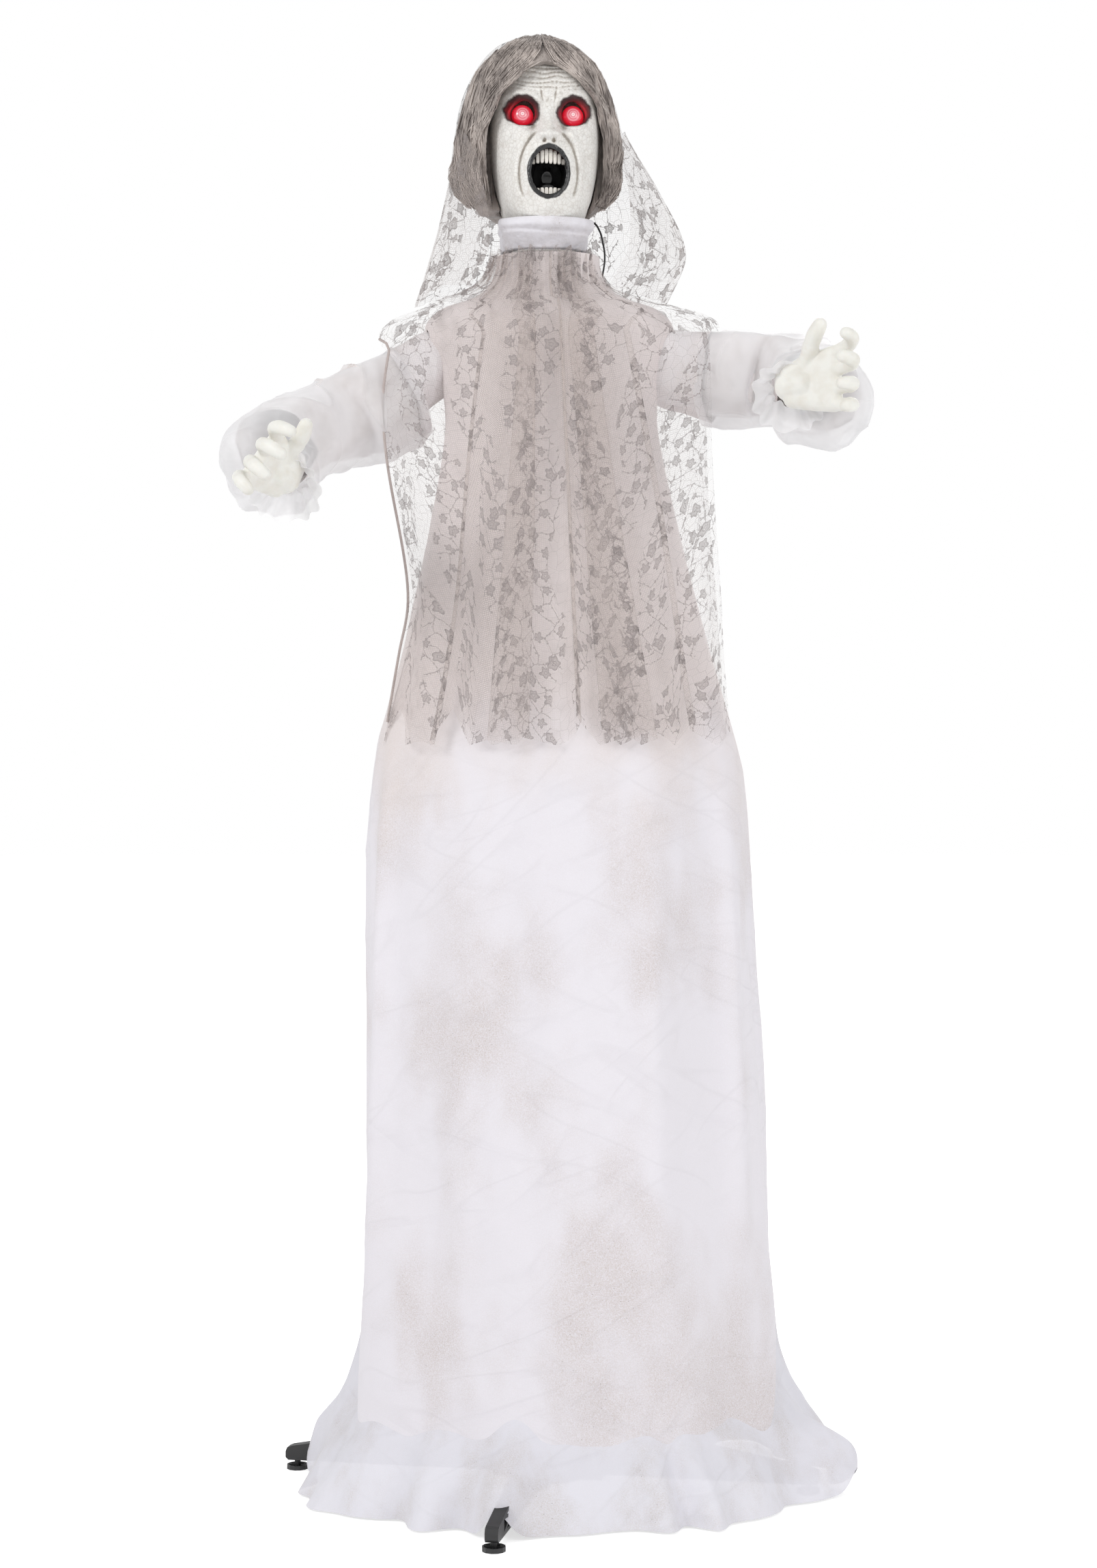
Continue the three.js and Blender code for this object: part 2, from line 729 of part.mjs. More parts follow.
function batteryDoor() {
  const plate = block(doorWidth, doorThickness, doorHeight, 0, halfDepth - doorThickness / 2,
    doorFoot + doorHeight / 2);
  const barrelZ = doorFoot - doorBarrelRadius;
  const barrel = rodX(doorBarrelRadius, doorBarrelLength, 0, halfDepth + doorBarrelStand, barrelZ,
    smallSides);
  const lugHeight = 3 * doorBarrelRadius;
  const lug = block(doorBarrelLength, doorBarrelRadius, lugHeight, 0,
    halfDepth + doorBarrelRadius / 2 + seatGap, barrelZ + lugHeight / 2);
  const foot = block(doorBarrelLength, doorBarrelStand, doorBarrelRadius, 0, halfDepth + seatGap / 2,
    doorFoot + 2 * doorBarrelRadius);
  return join(plate, barrel, lug, foot);
}

add('chest_front_cover', frontCover(), blackPlastic());
add('chest_rear_cover', rearCover(), blackPlastic());
add('battery_door', batteryDoor(), blackPlastic());
for (let i = 0; i < cellCount; i += 1) {
  const body = cellLength - cellButtonHeight;
  const cell = turned([
    [0, bayFloor],
    [cellRadius, bayFloor],
    [cellRadius, bayFloor + body],
    [cellButtonRadius, bayFloor + body],
    [cellButtonRadius, bayFloor + cellLength],
    [0, bayFloor + cellLength],
  ], smallSides);
  const mesh = add(`battery_cell_${i + 1}`, cell, steel());
  mesh.position.set((i - (cellCount - 1) / 2) * cellPitch, cellY, 0);
}

const speakerProfile = [
  [0, 0],
  [speakerRadius, 0],
  [speakerRadius, speakerDepth / 4],
  [speakerRadius / 2, speakerDepth / 2],
  [speakerRadius / 2, speakerDepth],
  [0, speakerDepth],
];
const speaker = add('speaker', turned(speakerProfile), blackPlastic());
speaker.rotation.x = degrees(-90);
speaker.position.set(0, -innerHalfDepth + seatGap, speakerHeight);

function circuitBoard() {
  const x = -boxWidth / 2 + boxWall + seatGap + boardThickness / 2;
  const plate = block(boardThickness, boardDepth, boardHeight, x, 0, boardFoot + boardHeight / 2);
  const chips = [-1, 0, 1].map((i) => block(chipThickness, chipSize / (1 + Math.abs(i)), chipSize,
    x + (boardThickness + chipThickness) / 2 - weldDistance, i * chipSize,
      boardFoot + boardHeight / 2 + i * chipSize));
  return join(plate, ...chips);
}
add('circuit_board', circuitBoard(), finish(0x2f6b3a, 0.6));

function powerSwitch() {
  const plateWidth = switchKnobWidth + switchTravel + 2 * switchPlateMargin;
  const plateY = innerHalfDepth - seatGap - switchPlateThickness / 2;
  const plate = block(plateWidth, switchPlateThickness, switchKnobHeight + 2 * switchPlateMargin,
    switchX, plateY, switchHeight);
  const knobLength = boxWall + switchKnobStand + switchPlateThickness;
  const knobY = halfDepth + switchKnobStand - knobLength / 2;
  return join(plate, block(switchKnobWidth, knobLength, switchKnobHeight, switchX, knobY, switchHeight));
}
add('power_switch', powerSwitch(), finish(0x303134, 0.5));

// Head drive: plate, motor, pinion, neck gear and neck shaft
const gearPitch = (gearModule * gearTeeth) / 2;
const pinionPitch = (gearModule * pinionTeeth) / 2;
const motorX = neckX + gearPitch + pinionPitch;

function gear(teeth, pitchRadius, bore, phase) {
  const outline = [];
  const step = (2 * Math.PI) / teeth;
  const toothShares = [[-0.29, 0], [-0.1, 1], [0.1, 1], [0.29, 0]];
  for (let i = 0; i < teeth; i += 1) {
    toothShares.forEach(([turnShare, tip]) => {
      const angle = (i + phase + turnShare) * step;
      const radius = tip ? pitchRadius + toothAddendum : pitchRadius - toothDedendum;
      outline.push([radius * Math.cos(angle), radius * Math.sin(angle)]);
    });
  }
  const hole = [];
  for (let i = 0; i < smallSides; i += 1) {
    const angle = (-2 * Math.PI * i) / smallSides;
    hole.push([bore * Math.cos(angle), bore * Math.sin(angle)]);
  }
  return pushed(outline, gearHeight, [hole]).translate(0, 0, gearUnderside);
}

const plate = block(boxWidth - 2 * boxWall - 2 * seatGap, 2 * (innerHalfDepth - seatGap),
  drivePlateThickness, 0, 0, drivePlateUnderside + drivePlateThickness / 2);
add('drive_plate', cut(
  plate,
  rodZ(neckHoleRadius, 2 * cutOverrun, neckX, 0, drivePlateUnderside, smallSides),
  rodZ(motorBossRadius + seatGap, 2 * cutOverrun, motorX, 0, drivePlateUnderside, smallSides),
), steel());

const neckCollarFoot = drivePlateUnderside + drivePlateThickness + seatGap;
const headCollarTop = headBracketHeight - headBossLength / 2 + headBracketThickness / 2 - seatGap;
const neckShaft = turned([
  [0, drivePlateUnderside],
  [neckShaftRadius, drivePlateUnderside],
  [neckShaftRadius, neckCollarFoot],
  [neckCollarRadius, neckCollarFoot],
  [neckCollarRadius, gearUnderside - seatGap],
  [neckShaftRadius, gearUnderside - seatGap],
  [neckShaftRadius, headCollarTop - neckCollarHeight],
  [neckCollarRadius, headCollarTop - neckCollarHeight],
  [neckCollarRadius, headCollarTop],
  [neckShaftRadius, headCollarTop],
  [neckShaftRadius, neckShaftTop],
  [0, neckShaftTop],
], smallSides);
add('neck_shaft', neckShaft, steel()).position.x = neckX;
add('neck_gear', gear(gearTeeth, gearPitch, neckShaftRadius + seatGap, 0), finish(0xe8e6dc, 0.5))
  .position.x = neckX;
add('motor_pinion', gear(pinionTeeth, pinionPitch, motorShaftRadius + seatGap, 0.5),
  finish(0xe8e6dc, 0.5)).position.x = motorX;
const motorTop = drivePlateUnderside - seatGap;
const motor = turned([
  [0, motorTop - motorLength],
  [motorRadius, motorTop - motorLength],
  [motorRadius, motorTop],
  [motorBossRadius, motorTop],
  [motorBossRadius, drivePlateUnderside + drivePlateThickness],
  [motorShaftRadius, drivePlateUnderside + drivePlateThickness],
  [motorShaftRadius, gearUnderside + gearHeight],
  [0, gearUnderside + gearHeight],
], smallSides);
add('drive_motor', motor, steel()).position.x = motorX;

// Shoulder bar and the two arms
const barReach = shoulderX - knuckleNeck - barSocketRadius;
const bar = turned([
  [barRadius - barWall, -barReach],
  [barRadius, -barReach],
  [barRadius, barReach],
  [barRadius - barWall, barReach],
  [barRadius - barWall, -barReach],
]);
const barMesh = add('shoulder_bar', bar, steel());
barMesh.rotation.y = degrees(90);
barMesh.position.set(0, shoulderY, shoulderHeight);

// A frame whose X runs along a direction and whose Z leans to a hint
function frameOn(origin, along, hint) {
  const x = along.clone().normalize();
  const y = hint.clone().cross(x).normalize();
  const z = x.clone().cross(y);
  const group = new THREE.Group();
  group.applyMatrix4(new THREE.Matrix4().makeBasis(x, y, z).setPosition(origin));
  return group;
}

const cheekMiddle = tongueThickness / 2 + seatGap + cheekThickness / 2;
const forkWidth = 2 * (cheekMiddle + cheekThickness / 2);

// Fork cheeks round the origin, turning about Y, open towards +X or -X
function forkHead(direction) {
  const backStart = knuckleRadius + 2 * seatGap;
  const cheeks = [-1, 1].map((side) => join(
    rodY(knuckleRadius, cheekThickness, 0, side * cheekMiddle, 0, smallSides),
    block(backStart + cheekThickness, cheekThickness, 1.4 * knuckleRadius,
      direction * (backStart + cheekThickness) / 2, side * cheekMiddle, 0),
  ));
  const bridge = block(knuckleNeck / 2, forkWidth, 1.4 * knuckleRadius,
    direction * (backStart + knuckleNeck / 4), 0, 0);
  return join(...cheeks, bridge);
}

function pinHole(length) {
  return rodY(turningHole(pinRadius), length + 2 * cutOverrun, 0, 0, 0, smallSides);
}

function jointPin() {
  const half = forkWidth / 2;
  const profile = [
    [0, -half - pinHeadHeight - seatGap],
    [pinHeadRadius, -half - pinHeadHeight - seatGap],
    [pinHeadRadius, -half - seatGap],
    [pinRadius, -half - seatGap],
    [pinRadius, half],
    [0, half],
  ];
  return turned(profile, smallSides).rotateX(degrees(-90));
}

// A tongue about Y with a neck that leads along +X or -X
function tongue(direction) {
  return join(
    rodY(knuckleRadius, tongueThickness, 0, 0, 0, smallSides),
    block(knuckleNeck + armTubeRadius, tongueThickness, 1.3 * armTubeRadius,
      direction * (knuckleNeck + armTubeRadius) / 2, 0, 0),
  );
}

// A finger or thumb as a tapered tube bent at its knuckles
function digit(points, radii, sides = 6) {
  const curve = new THREE.CatmullRomCurve3(points);
  const steps = 5;
  const rings = [];
  for (let i = 0; i <= steps; i += 1) {
    const at = i / steps;
    const centre = curve.getPointAt(at);
    const along = curve.getTangentAt(at);
    const side = new THREE.Vector3(0, 0, 1).cross(along).normalize();
    const up = along.clone().cross(side);
    const radius = readShares(radii, at, 1);
    const ring = [];
    for (let j = 0; j < sides; j += 1) {
      const angle = (2 * Math.PI * j) / sides;
      ring.push(centre.clone()
        .addScaledVector(side, radius * Math.cos(angle))
        .addScaledVector(up, radius * Math.sin(angle)));
    }
    rings.push(ring);
  }
  return skin(rings);
}

const fingerRadiusShares = [[0, 1.02], [0.3, 1], [0.45, 1.08], [0.7, 0.95], [0.9, 0.8], [1, 0.4]];
const fingers = [
  { rowShare: 0.38, lengthShare: 0.95, curl: 104 },
  { rowShare: 0.13, lengthShare: 1.06, curl: 118 },
  { rowShare: -0.13, lengthShare: 1, curl: 122 },
  { rowShare: -0.37, lengthShare: 0.84, curl: 112 },
];

// Palm, four curled fingers and a thumb: X along the hand, Z towards the thumb, palm facing its own side
function handForm(palmSide) {
  const scaled = (radius) => fingerRadiusShares.map(([at, share]) => [at, share * radius]);
  const palmShares = [[0, 0.42, 0.8], [0.25, 0.72, 1], [0.6, 0.96, 1.02], [0.92, 1, 0.86], [1.05, 0.9, 0.6]];
  const palmRings = palmShares.map(([along, width, thick]) => {
    const ring = [];
    for (let j = 0; j < palmSides; j += 1) {
      const angle = (2 * Math.PI * j) / palmSides;
      ring.push(new THREE.Vector3(
        along * palmLength,
        -thick * (palmThickness / 2) * Math.cos(angle),
        width * (palmWidth / 2) * Math.sin(angle) * -1,
      ));
    }
    return ring;
  });
  const pieces = [skin(palmRings)];
  fingers.forEach(({ rowShare, lengthShare, curl }) => {
    const length = fingerLength * lengthShare;
    const points = [new THREE.Vector3(palmLength * 0.86, 0, rowShare * palmWidth)];
    const bendShares = [0.16, 0.42, 0.72, 1];
    const legShares = [0.34, 0.26, 0.22, 0.18];
    bendShares.forEach((bend, k) => {
      const turn = degrees(curl * bend);
      const step = length * legShares[k];
      points.push(points.at(-1).clone().add(new THREE.Vector3(
        step * Math.cos(turn), palmSide * step * Math.sin(turn), rowShare * step * fingerSpread)));
    });
    pieces.push(digit(points, scaled(fingerRadius * (0.82 + 0.18 * lengthShare))));
  });
  const thumbStart = new THREE.Vector3(palmLength * 0.3, 0, palmWidth * 0.26);
  const thumbShares = [[0.3, 0.12, 0.28], [0.6, 0.26, 0.62], [1, 0.3, 1]];
  const thumbPoints = [thumbStart, ...thumbShares.map(([x, y, z]) => thumbStart.clone().add(
    new THREE.Vector3(x * thumbLength * 0.5, palmSide * y * thumbLength, z * thumbLength * 0.85)))];
  pieces.push(digit(thumbPoints, scaled(fingerRadius * 1.2)));
  return pieces;
}

function hand(side, handTurn) {
  const palmSide = -side;
  const form = handForm(palmSide).map((piece) => piece.applyQuaternion(handTurn));
  const inside = new THREE.Vector3(palmLength * 0.3, 0, 0).applyQuaternion(handTurn);
  const stub = digit(
    [new THREE.Vector3(-wristInsert, 0, 0), new THREE.Vector3(0, 0, 0), inside.clone().multiplyScalar(0.4)
      .add(new THREE.Vector3(wristInsert / 4, 0, 0)), inside],
    [[0, wristRadius], [0.5, wristRadius], [1, wristRadius * 0.9]],
    palmSides,
  );
  const socket = rodX(turningHole(armTubeRadius), 2 * wristInsert, seatGap - wristInsert, 0, 0, smallSides);
  return cut(join(...form, stub), socket);
}

// Sleeve: one shell from the armhole, mitred at the elbow, to the gathered wrist
const sleeveStations = [
  { upper: 0.13, tall: 1.12, wide: 0.96, puff: 0 },
  { upper: 0.4, tall: 1.22, wide: 1, puff: 0 },
  { upper: 0.74, tall: 1.22, wide: 1.04, puff: 0 },
  { fore: 0, tall: 1.18, wide: 1.2, puff: 0.12 },
  { fore: 0.27, tall: 1.18, wide: 1.1, puff: 0.6 },
  { fore: 0.5, tall: 1.1, wide: 1.1, puff: 1 },
  { fore: 0.76, tall: 1, wide: 1, puff: 0.92 },
  { fore: 0.92, tall: 0.62, wide: 0.6, puff: 0 },
];

function sleeve(origin, elbow, wrist, side, cuff) {
  const upper = elbow.clone().sub(origin);
  const fore = wrist.clone().sub(elbow);
  const mitre = upper.clone().normalize().add(fore.clone().normalize());
  const up = new THREE.Vector3(0, 0, 1);
  const overArm = forkWidth / 2 + pinHeadHeight + clothWall + sleeveFold + sleeveTopGap;
  const rings = sleeveStations.map((station, i) => {
    const beforeElbow = station.upper !== undefined;
    const centre = beforeElbow
      ? origin.clone().addScaledVector(upper, station.upper)
      : elbow.clone().addScaledVector(fore, station.fore);
    centre.x += side * cuff.lean * station.puff;
    const along = (beforeElbow ? upper : fore).clone();
    if (station.fore === 0) along.copy(mitre);
    if (i === 0) along.z = 0;
    along.normalize();
    const across = up.clone().cross(along).normalize();
    const rise = along.clone().cross(across);
    const mix = THREE.MathUtils.lerp;
    const tall = mix(sleeveHalf * station.tall, cuff.tall, station.puff);
    const wide = mix(sleeveHalf * station.wide, cuff.wide, station.puff);
    const gathered = i === sleeveStations.length - 1;
    const top = mix(gathered ? wristRadius + clothWall + sleeveTopGap : overArm, cuff.top, station.puff);
    const ring = [];
    for (let j = 0; j < sleeveSides; j += 1) {
      const angle = (2 * Math.PI * j) / sleeveSides;
      const fold = gathered ? 0 : sleeveFold * Math.cos(5 * angle + 6 * station.tall);
      const c = Math.cos(angle);
      const s = Math.sin(angle);
      ring.push(centre.clone()
        .addScaledVector(across, (wide + fold) * Math.sign(c) * Math.abs(c) ** sleeveSquare)
        .addScaledVector(rise, (tall + fold) * Math.sign(s) * Math.abs(s) ** sleeveSquare - tall + top));
    }
    return ring;
  });
  return clothShell(rings, clothWall);
}

Object.entries(armPoses).forEach(([name, pose]) => {
  const { side } = pose;
  const [upperAim, foreAim, handAim, thumbAim] = [pose.upper, pose.fore, pose.hand, pose.thumb]
    .map((values) => new THREE.Vector3(...values).normalize());
  const up = new THREE.Vector3(0, 0, 1);
  const pivot = new THREE.Vector3(side * shoulderX, shoulderY, shoulderHeight);
  const elbow = pivot.clone().addScaledVector(upperAim, upperArmLength);
  const wrist = elbow.clone().addScaledVector(foreAim, forearmLength);

  // The fork faces out level, its socket turned back in line with the bar
  const level = new THREE.Vector3(upperAim.x, upperAim.y, 0);
  const forkFrame = frameOn(pivot, level, up);
  model.add(forkFrame);
  const barTurn = Math.atan2(level.y, side * level.x) * side;
  const socketMiddle = -(knuckleNeck + knuckleRadius / 2 + barSocketLength / 2);
  const socket = rodX(barSocketRadius, barSocketLength, socketMiddle, 0, 0).rotateZ(-barTurn);
  const socketBore = rodX(barRadius + seatGap, barSocketLength + 2 * cutOverrun, -cutOverrun, 0, 0)
    .translate(-(shoulderX - barReach - seatGap) - barSocketLength / 2, 0, 0).rotateZ(-barTurn);
  const knee = block(knuckleNeck, forkWidth, 1.4 * knuckleRadius,
    -(knuckleRadius + knuckleNeck / 2 + 2 * seatGap), 0, 0);
  add(`shoulder_fork_${name}`, cut(join(forkHead(-1), knee, socket), pinHole(forkWidth), socketBore),
    blackPlastic(), forkFrame);
  add(`shoulder_pin_${name}`, jointPin(), steel(), forkFrame);

  // Upper arm: a tongue at the shoulder, a tube, and a tongue turned to the elbow's own axis
  const elbowAxis = foreAim.clone().cross(upperAim).normalize();
  if (elbowAxis.z < 0) elbowAxis.negate();
  const upperFrame = frameOn(pivot, upperAim, up);
  model.add(upperFrame);
  const upperTurn = new THREE.Quaternion().setFromRotationMatrix(upperFrame.matrix).invert();
  const localAxis = elbowAxis.clone().applyQuaternion(upperTurn);
  const roll = Math.atan2(localAxis.z, localAxis.y);
  const tubeLength = upperArmLength - 2 * (knuckleNeck + seatGap);
  const tube = rodX(armTubeRadius, tubeLength, upperArmLength / 2, 0, 0, smallSides);
  const elbowTongue = cut(tongue(-1), pinHole(tongueThickness)).rotateX(roll).translate(upperArmLength, 0, 0);
  add(`upper_arm_${name}`, join(cut(tongue(1), pinHole(tongueThickness)), tube, elbowTongue),
    blackPlastic(), upperFrame);

  // Forearm: a fork round the elbow tongue and a tube that enters the hand
  const foreFrame = frameOn(elbow, foreAim, elbowAxis.clone().cross(foreAim).negate());
  model.add(foreFrame);
  const foreStart = knuckleRadius + 2 * seatGap + knuckleNeck / 4;
  const foreTube = rodX(armTubeRadius, forearmLength - foreStart, (forearmLength + foreStart) / 2, 0, 0,
    smallSides);
  add(`forearm_${name}`, join(cut(forkHead(1), pinHole(forkWidth)), foreTube), blackPlastic(), foreFrame);
  add(`elbow_pin_${name}`, jointPin(), steel(), foreFrame);

  const wristFrame = frameOn(wrist, foreAim, up);
  model.add(wristFrame);
  const wristTurn = new THREE.Quaternion().setFromRotationMatrix(wristFrame.matrix).invert();
  const handFrame = frameOn(wrist, handAim, thumbAim);
  const handTurn = wristTurn.multiply(new THREE.Quaternion().setFromRotationMatrix(handFrame.matrix));
  add(`hand_${name}`, hand(side, handTurn), handVinyl(), wristFrame);
  add(`sleeve_${name}`, sleeve(pivot, elbow, wrist, side, pose.cuff), gownCloth());
});

// The head turns on the neck shaft and rests turned a little to its left
const head = new THREE.Group();
head.rotation.z = degrees(headTurn);
head.position.set(neckX * (1 - Math.cos(head.rotation.z)), -neckX * Math.sin(head.rotation.z), 0);
model.add(head);

// Head: one form shared by the mask, back shell, wig and neck band
const headShares = [
  [0, 0.72, 0.52, 0.55], [0.09, 0.72, 0.53, 0.56], [0.125, 0.72, 0.8, 0.58], [0.165, 0.745, 0.925, 0.64],
  [0.215, 0.81, 0.975, 0.71], [0.281, 0.905, 1, 0.8], [0.41, 0.99, 1, 0.91], [0.586, 1, 0.98, 0.99],
  [0.723, 0.963, 0.957, 1], [0.84, 0.86, 0.86, 0.93], [0.93, 0.667, 0.667, 0.75], [0.977, 0.415, 0.43, 0.48],
  [1, 0.12, 0.13, 0.14],
];

function headRings(margin, sides) {
  const around = margin > 0 ? 1 / Math.cos(Math.PI / sides) : 1;
  return headShares.map(([at, width, front, back], i) => oval({
    z: headBottom + at * headHeight + (i === headShares.length - 1 ? margin : 0)
      - (i === 0 && margin > 0 ? cutOverrun : 0),
    x: neckX,
    width: around * (width * headHalfWidth + margin),
    front: around * (front * headFront + margin),
    back: around * (back * headBack + margin),
    sides,
  }));
}

// How far the face stands out from the plain head form at a place seen from the front
function faceRise(x, z) {
  const side = Math.abs(x);
  const socket = -socketDepth
    * Math.exp(-(((side - eyeSpread) / socketWidth) ** 4) - ((z - eyeHeight) / socketTall) ** 4);
  const brow = browRise * hump(side - eyeSpread, socketWidth)
    * hump(z - eyeHeight - 1.35 * socketTall, socketTall / 2);
  const bridge = Math.min(Math.max((noseRoot - z) / (noseRoot - noseTip), 0), 1);
  const below = z < noseTip ? hump(z - noseTip, noseHalfWidth) : 1;
  const nose = noseReach * bridge * below * hump(x, noseHalfWidth * (0.7 + 0.5 * bridge));
  const cheek = cheekRise * hump(side - 1.35 * eyeSpread, socketWidth)
    * hump(z - noseTip + noseHalfWidth, socketTall);
  const ring = Math.hypot(x / mouthHalfWidth, (z - mouthHeight) / mouthHalfHeight) - 1;
  const lips = lipRise * hump(ring * mouthHalfWidth - lipWidth / 3, lipWidth);
  return socket + brow + nose + cheek + lips;
}

function faceMask() {
  const columns = 17;
  const rowShares = [0, 0.09, 0.125, 0.165, 0.2, 0.24, 0.3, 0.36, 0.42, 0.475, 0.51, 0.545, 0.59,
    0.635, 0.68, 0.73, 0.8, 0.89, 0.985];
  const grid = (inset) => rowShares.map((at) => {
    const z = headBottom + at * headHeight;
    const width = readShares(headShares, at, 1) * headHalfWidth - inset;
    const depth = readShares(headShares, at, 2) * headFront - inset;
    const row = [];
    for (let c = 0; c < columns; c += 1) {
      const across = (2 * c) / (columns - 1) - 1;
      const angle = (Math.PI / 2) * (0.75 * across + 0.25 * across ** 3);
      const x = width * Math.sin(angle);
      const fade = Math.cos(angle) ** 0.5;
      row.push(new THREE.Vector3(neckX + x, -depth * Math.cos(angle) - fade * faceRise(x, z), z));
    }
    return row;
  });
  const rims = [-1, 1].map((side) => {
    const length = lensFront - lensBack + lampDiscThickness;
    return rodY(lensRadius + seatGap + lidRimWall, length, neckX + side * eyeSpread,
      -lensFront + length / 2 + seatGap, eyeHeight);
  });
  const bores = [-1, 1].map((side) => rodY(lensRadius + seatGap, 2 * headFront, neckX + side * eyeSpread,
    -headFront, eyeHeight));
  const mouth = pushedForward(ellipseOutline(mouthHalfWidth, mouthHalfHeight, 24), headFront, headFront / 2)
    .translate(neckX, 0, mouthHeight);
  return cut(join(slab(grid(0), grid(maskWall)), ...rims), ...bores, mouth);
}

function ellipseOutline(width, height, count, from = 0, to = 360) {
  const outline = [];
  const steps = to - from === 360 ? count : count - 1;
  for (let i = 0; i < count; i += 1) {
    const angle = degrees(from + ((to - from) * i) / steps);
    outline.push([width * Math.cos(angle), height * Math.sin(angle)]);
  }
  return outline;
}

function headBackShell() {
  const outer = headRings(0, headSides);
  const inner = headRings(-maskWall, headSides).filter((ring, i) => i % 2 === 0);
  const dome = skin([...inner.reverse(), ...outer]);
  const frontHalf = block(4 * headHalfWidth, 2 * headFront, 2 * headHeight, neckX, seatGap - headFront,
    headBottom + headHeight / 2);
  const bracketDepth = headBack * 0.68;
  const bracket = block(headBracketWidth, bracketDepth, headBracketThickness, neckX, bracketDepth / 2,
    headBracketHeight);
  const boss = rodZ(headBossRadius, headBossLength, neckX, 0, headBracketHeight + headBracketThickness / 2);
  const bore = rodZ(neckShaftRadius + seatGap, 2 * headBossLength, neckX, 0, headBracketHeight);
  const leadHole = rodX(leadRadius + 2 * seatGap, 2 * headBossRadius, leadHoleX, leadHoleY,
    leadHoleHeight, smallSides);
  return cut(join(cut(dome, frontHalf), bracket, boss), bore, leadHole);
}

add('face_mask', faceMask(), maskVinyl(), head);
add('head_back', headBackShell(), maskVinyl(), head);

for (const [name, side] of [['left', 1], ['right', -1]]) {
  const depth = lensFront - lensBack;
  const dome = (radius, height) => [0, 28, 58].map((turn) => [
    radius * Math.cos(degrees(turn)), lensBack + seatGap + (height - seatGap) * Math.sin(degrees(turn))]);
  const outer = dome(lensRadius, depth);
  const inner = dome(lensRadius - lensWall, depth - lensWall).reverse();
  const lens = turned([[0, lensFront - lensWall], ...inner, ...outer, [0, lensFront]]).rotateX(degrees(90));
  add(`eye_lens_${name}`, lens, redLens(), head).position.set(neckX + side * eyeSpread, 0, eyeHeight);
  const lamp = turned([
    [0, lensBack - lampDiscThickness],
    [lensRadius, lensBack - lampDiscThickness],
    [lensRadius, lensBack],
    [lampRadius, lensBack],
    [lampRadius, lensBack + lampLength - lampRadius],
    [0, lensBack + lampLength],
  ], roundSides).rotateX(degrees(90));
  add(`eye_lamp_${name}`, lamp, finish(0xf4d8d8, 0.3), head)
    .position.set(neckX + side * eyeSpread, 0, eyeHeight);
}

// Teeth: an arch with rounded teeth along its inner edge
function teeth(from, to, count, lengthShare) {
  const width = mouthHalfWidth - 2 * seatGap;
  const height = mouthHalfHeight - 2 * seatGap;
  const outline = ellipseOutline(width, height, 2 * count, from, to);
  const inner = [];
  const toothTurn = (to - from) / count;
  const biteShares = [[0.05, 0.35], [0.2, 0.95], [0.8, 0.95], [0.95, 0.35]];
  for (let i = 0; i < count; i += 1) {
    biteShares.forEach(([turnShare, reachShare]) => {
      const angle = degrees(from + (i + turnShare) * toothTurn);
      const reach = toothLength * lengthShare * reachShare;
      inner.push([(width - reach) * Math.cos(angle), (height - reach) * Math.sin(angle)]);
    });
  }
  return pushedForward([...outline, ...inner.reverse()], teethDepth, teethFront - teethDepth)
    .translate(neckX, 0, mouthHeight);
}
add('upper_teeth', teeth(32, 148, 8, 1), toothPaint(), head);
add('lower_teeth', teeth(226, 314, 7, 0.62), toothPaint(), head);

function mouthLiner() {
  const cup = (inset) => [0, 38, 72].map((turn) => {
    const swell = Math.cos(degrees(turn));
    const ring = [];
    for (let j = 0; j < roundSides; j += 1) {
      const angle = (2 * Math.PI * j) / roundSides;
      ring.push(new THREE.Vector3(
        neckX + (mouthHalfWidth + linerWall - inset) * swell * Math.cos(angle),
        -linerFront + (linerDepth - inset) * Math.sin(degrees(turn)),
        mouthHeight + (mouthHalfHeight + linerWall - inset) * swell * Math.sin(angle),
      ));
    }
    return ring;
  });
  const outer = cup(0);
  const inner = cup(linerWall);
  const shell = skin([...outer.reverse(), ...inner]);
  const tongueForm = new THREE.SphereGeometry(1, 10, 6)
    .scale(mouthHalfWidth * 0.72, linerDepth * 0.42, mouthHalfHeight * 0.3)
    .translate(neckX, -linerFront + linerDepth * 0.52, mouthHeight - mouthHalfHeight * 0.56);
  return join(shell, tongueForm);
}
add('mouth_liner', mouthLiner(), mouthPaint(), head);

// Neck band, kept clear of the mask's jaw
function neckBand() {
  const rings = [bandBottom, (bandBottom + bandTop) / 2, bandTop].map((z, i) => oval({
    z, x: neckX, width: bandWidth + i * bandEase, front: bandWidth, back: bandWidth + i * bandEase,
      sides: headSides,
  }));
  return cut(skin(rings), skin(headRings(bandGap, headSides)));
}
add('neck_band', neckBand(), gownCloth(), head);

// Wig: waved locks over the head form, open round the face
const wigShares = [
  [0, 0.71, 0.35, 0.72], [0.16, 0.96, 0.7, 0.87], [0.336, 1, 0.9, 1], [0.48, 0.95, 0.97, 1],
  [0.624, 0.88, 1, 0.98],
  [0.74, 0.79, 0.97, 0.91], [0.83, 0.67, 0.86, 0.8], [0.93, 0.42, 0.56, 0.52], [1, 0.1, 0.14, 0.14],
];

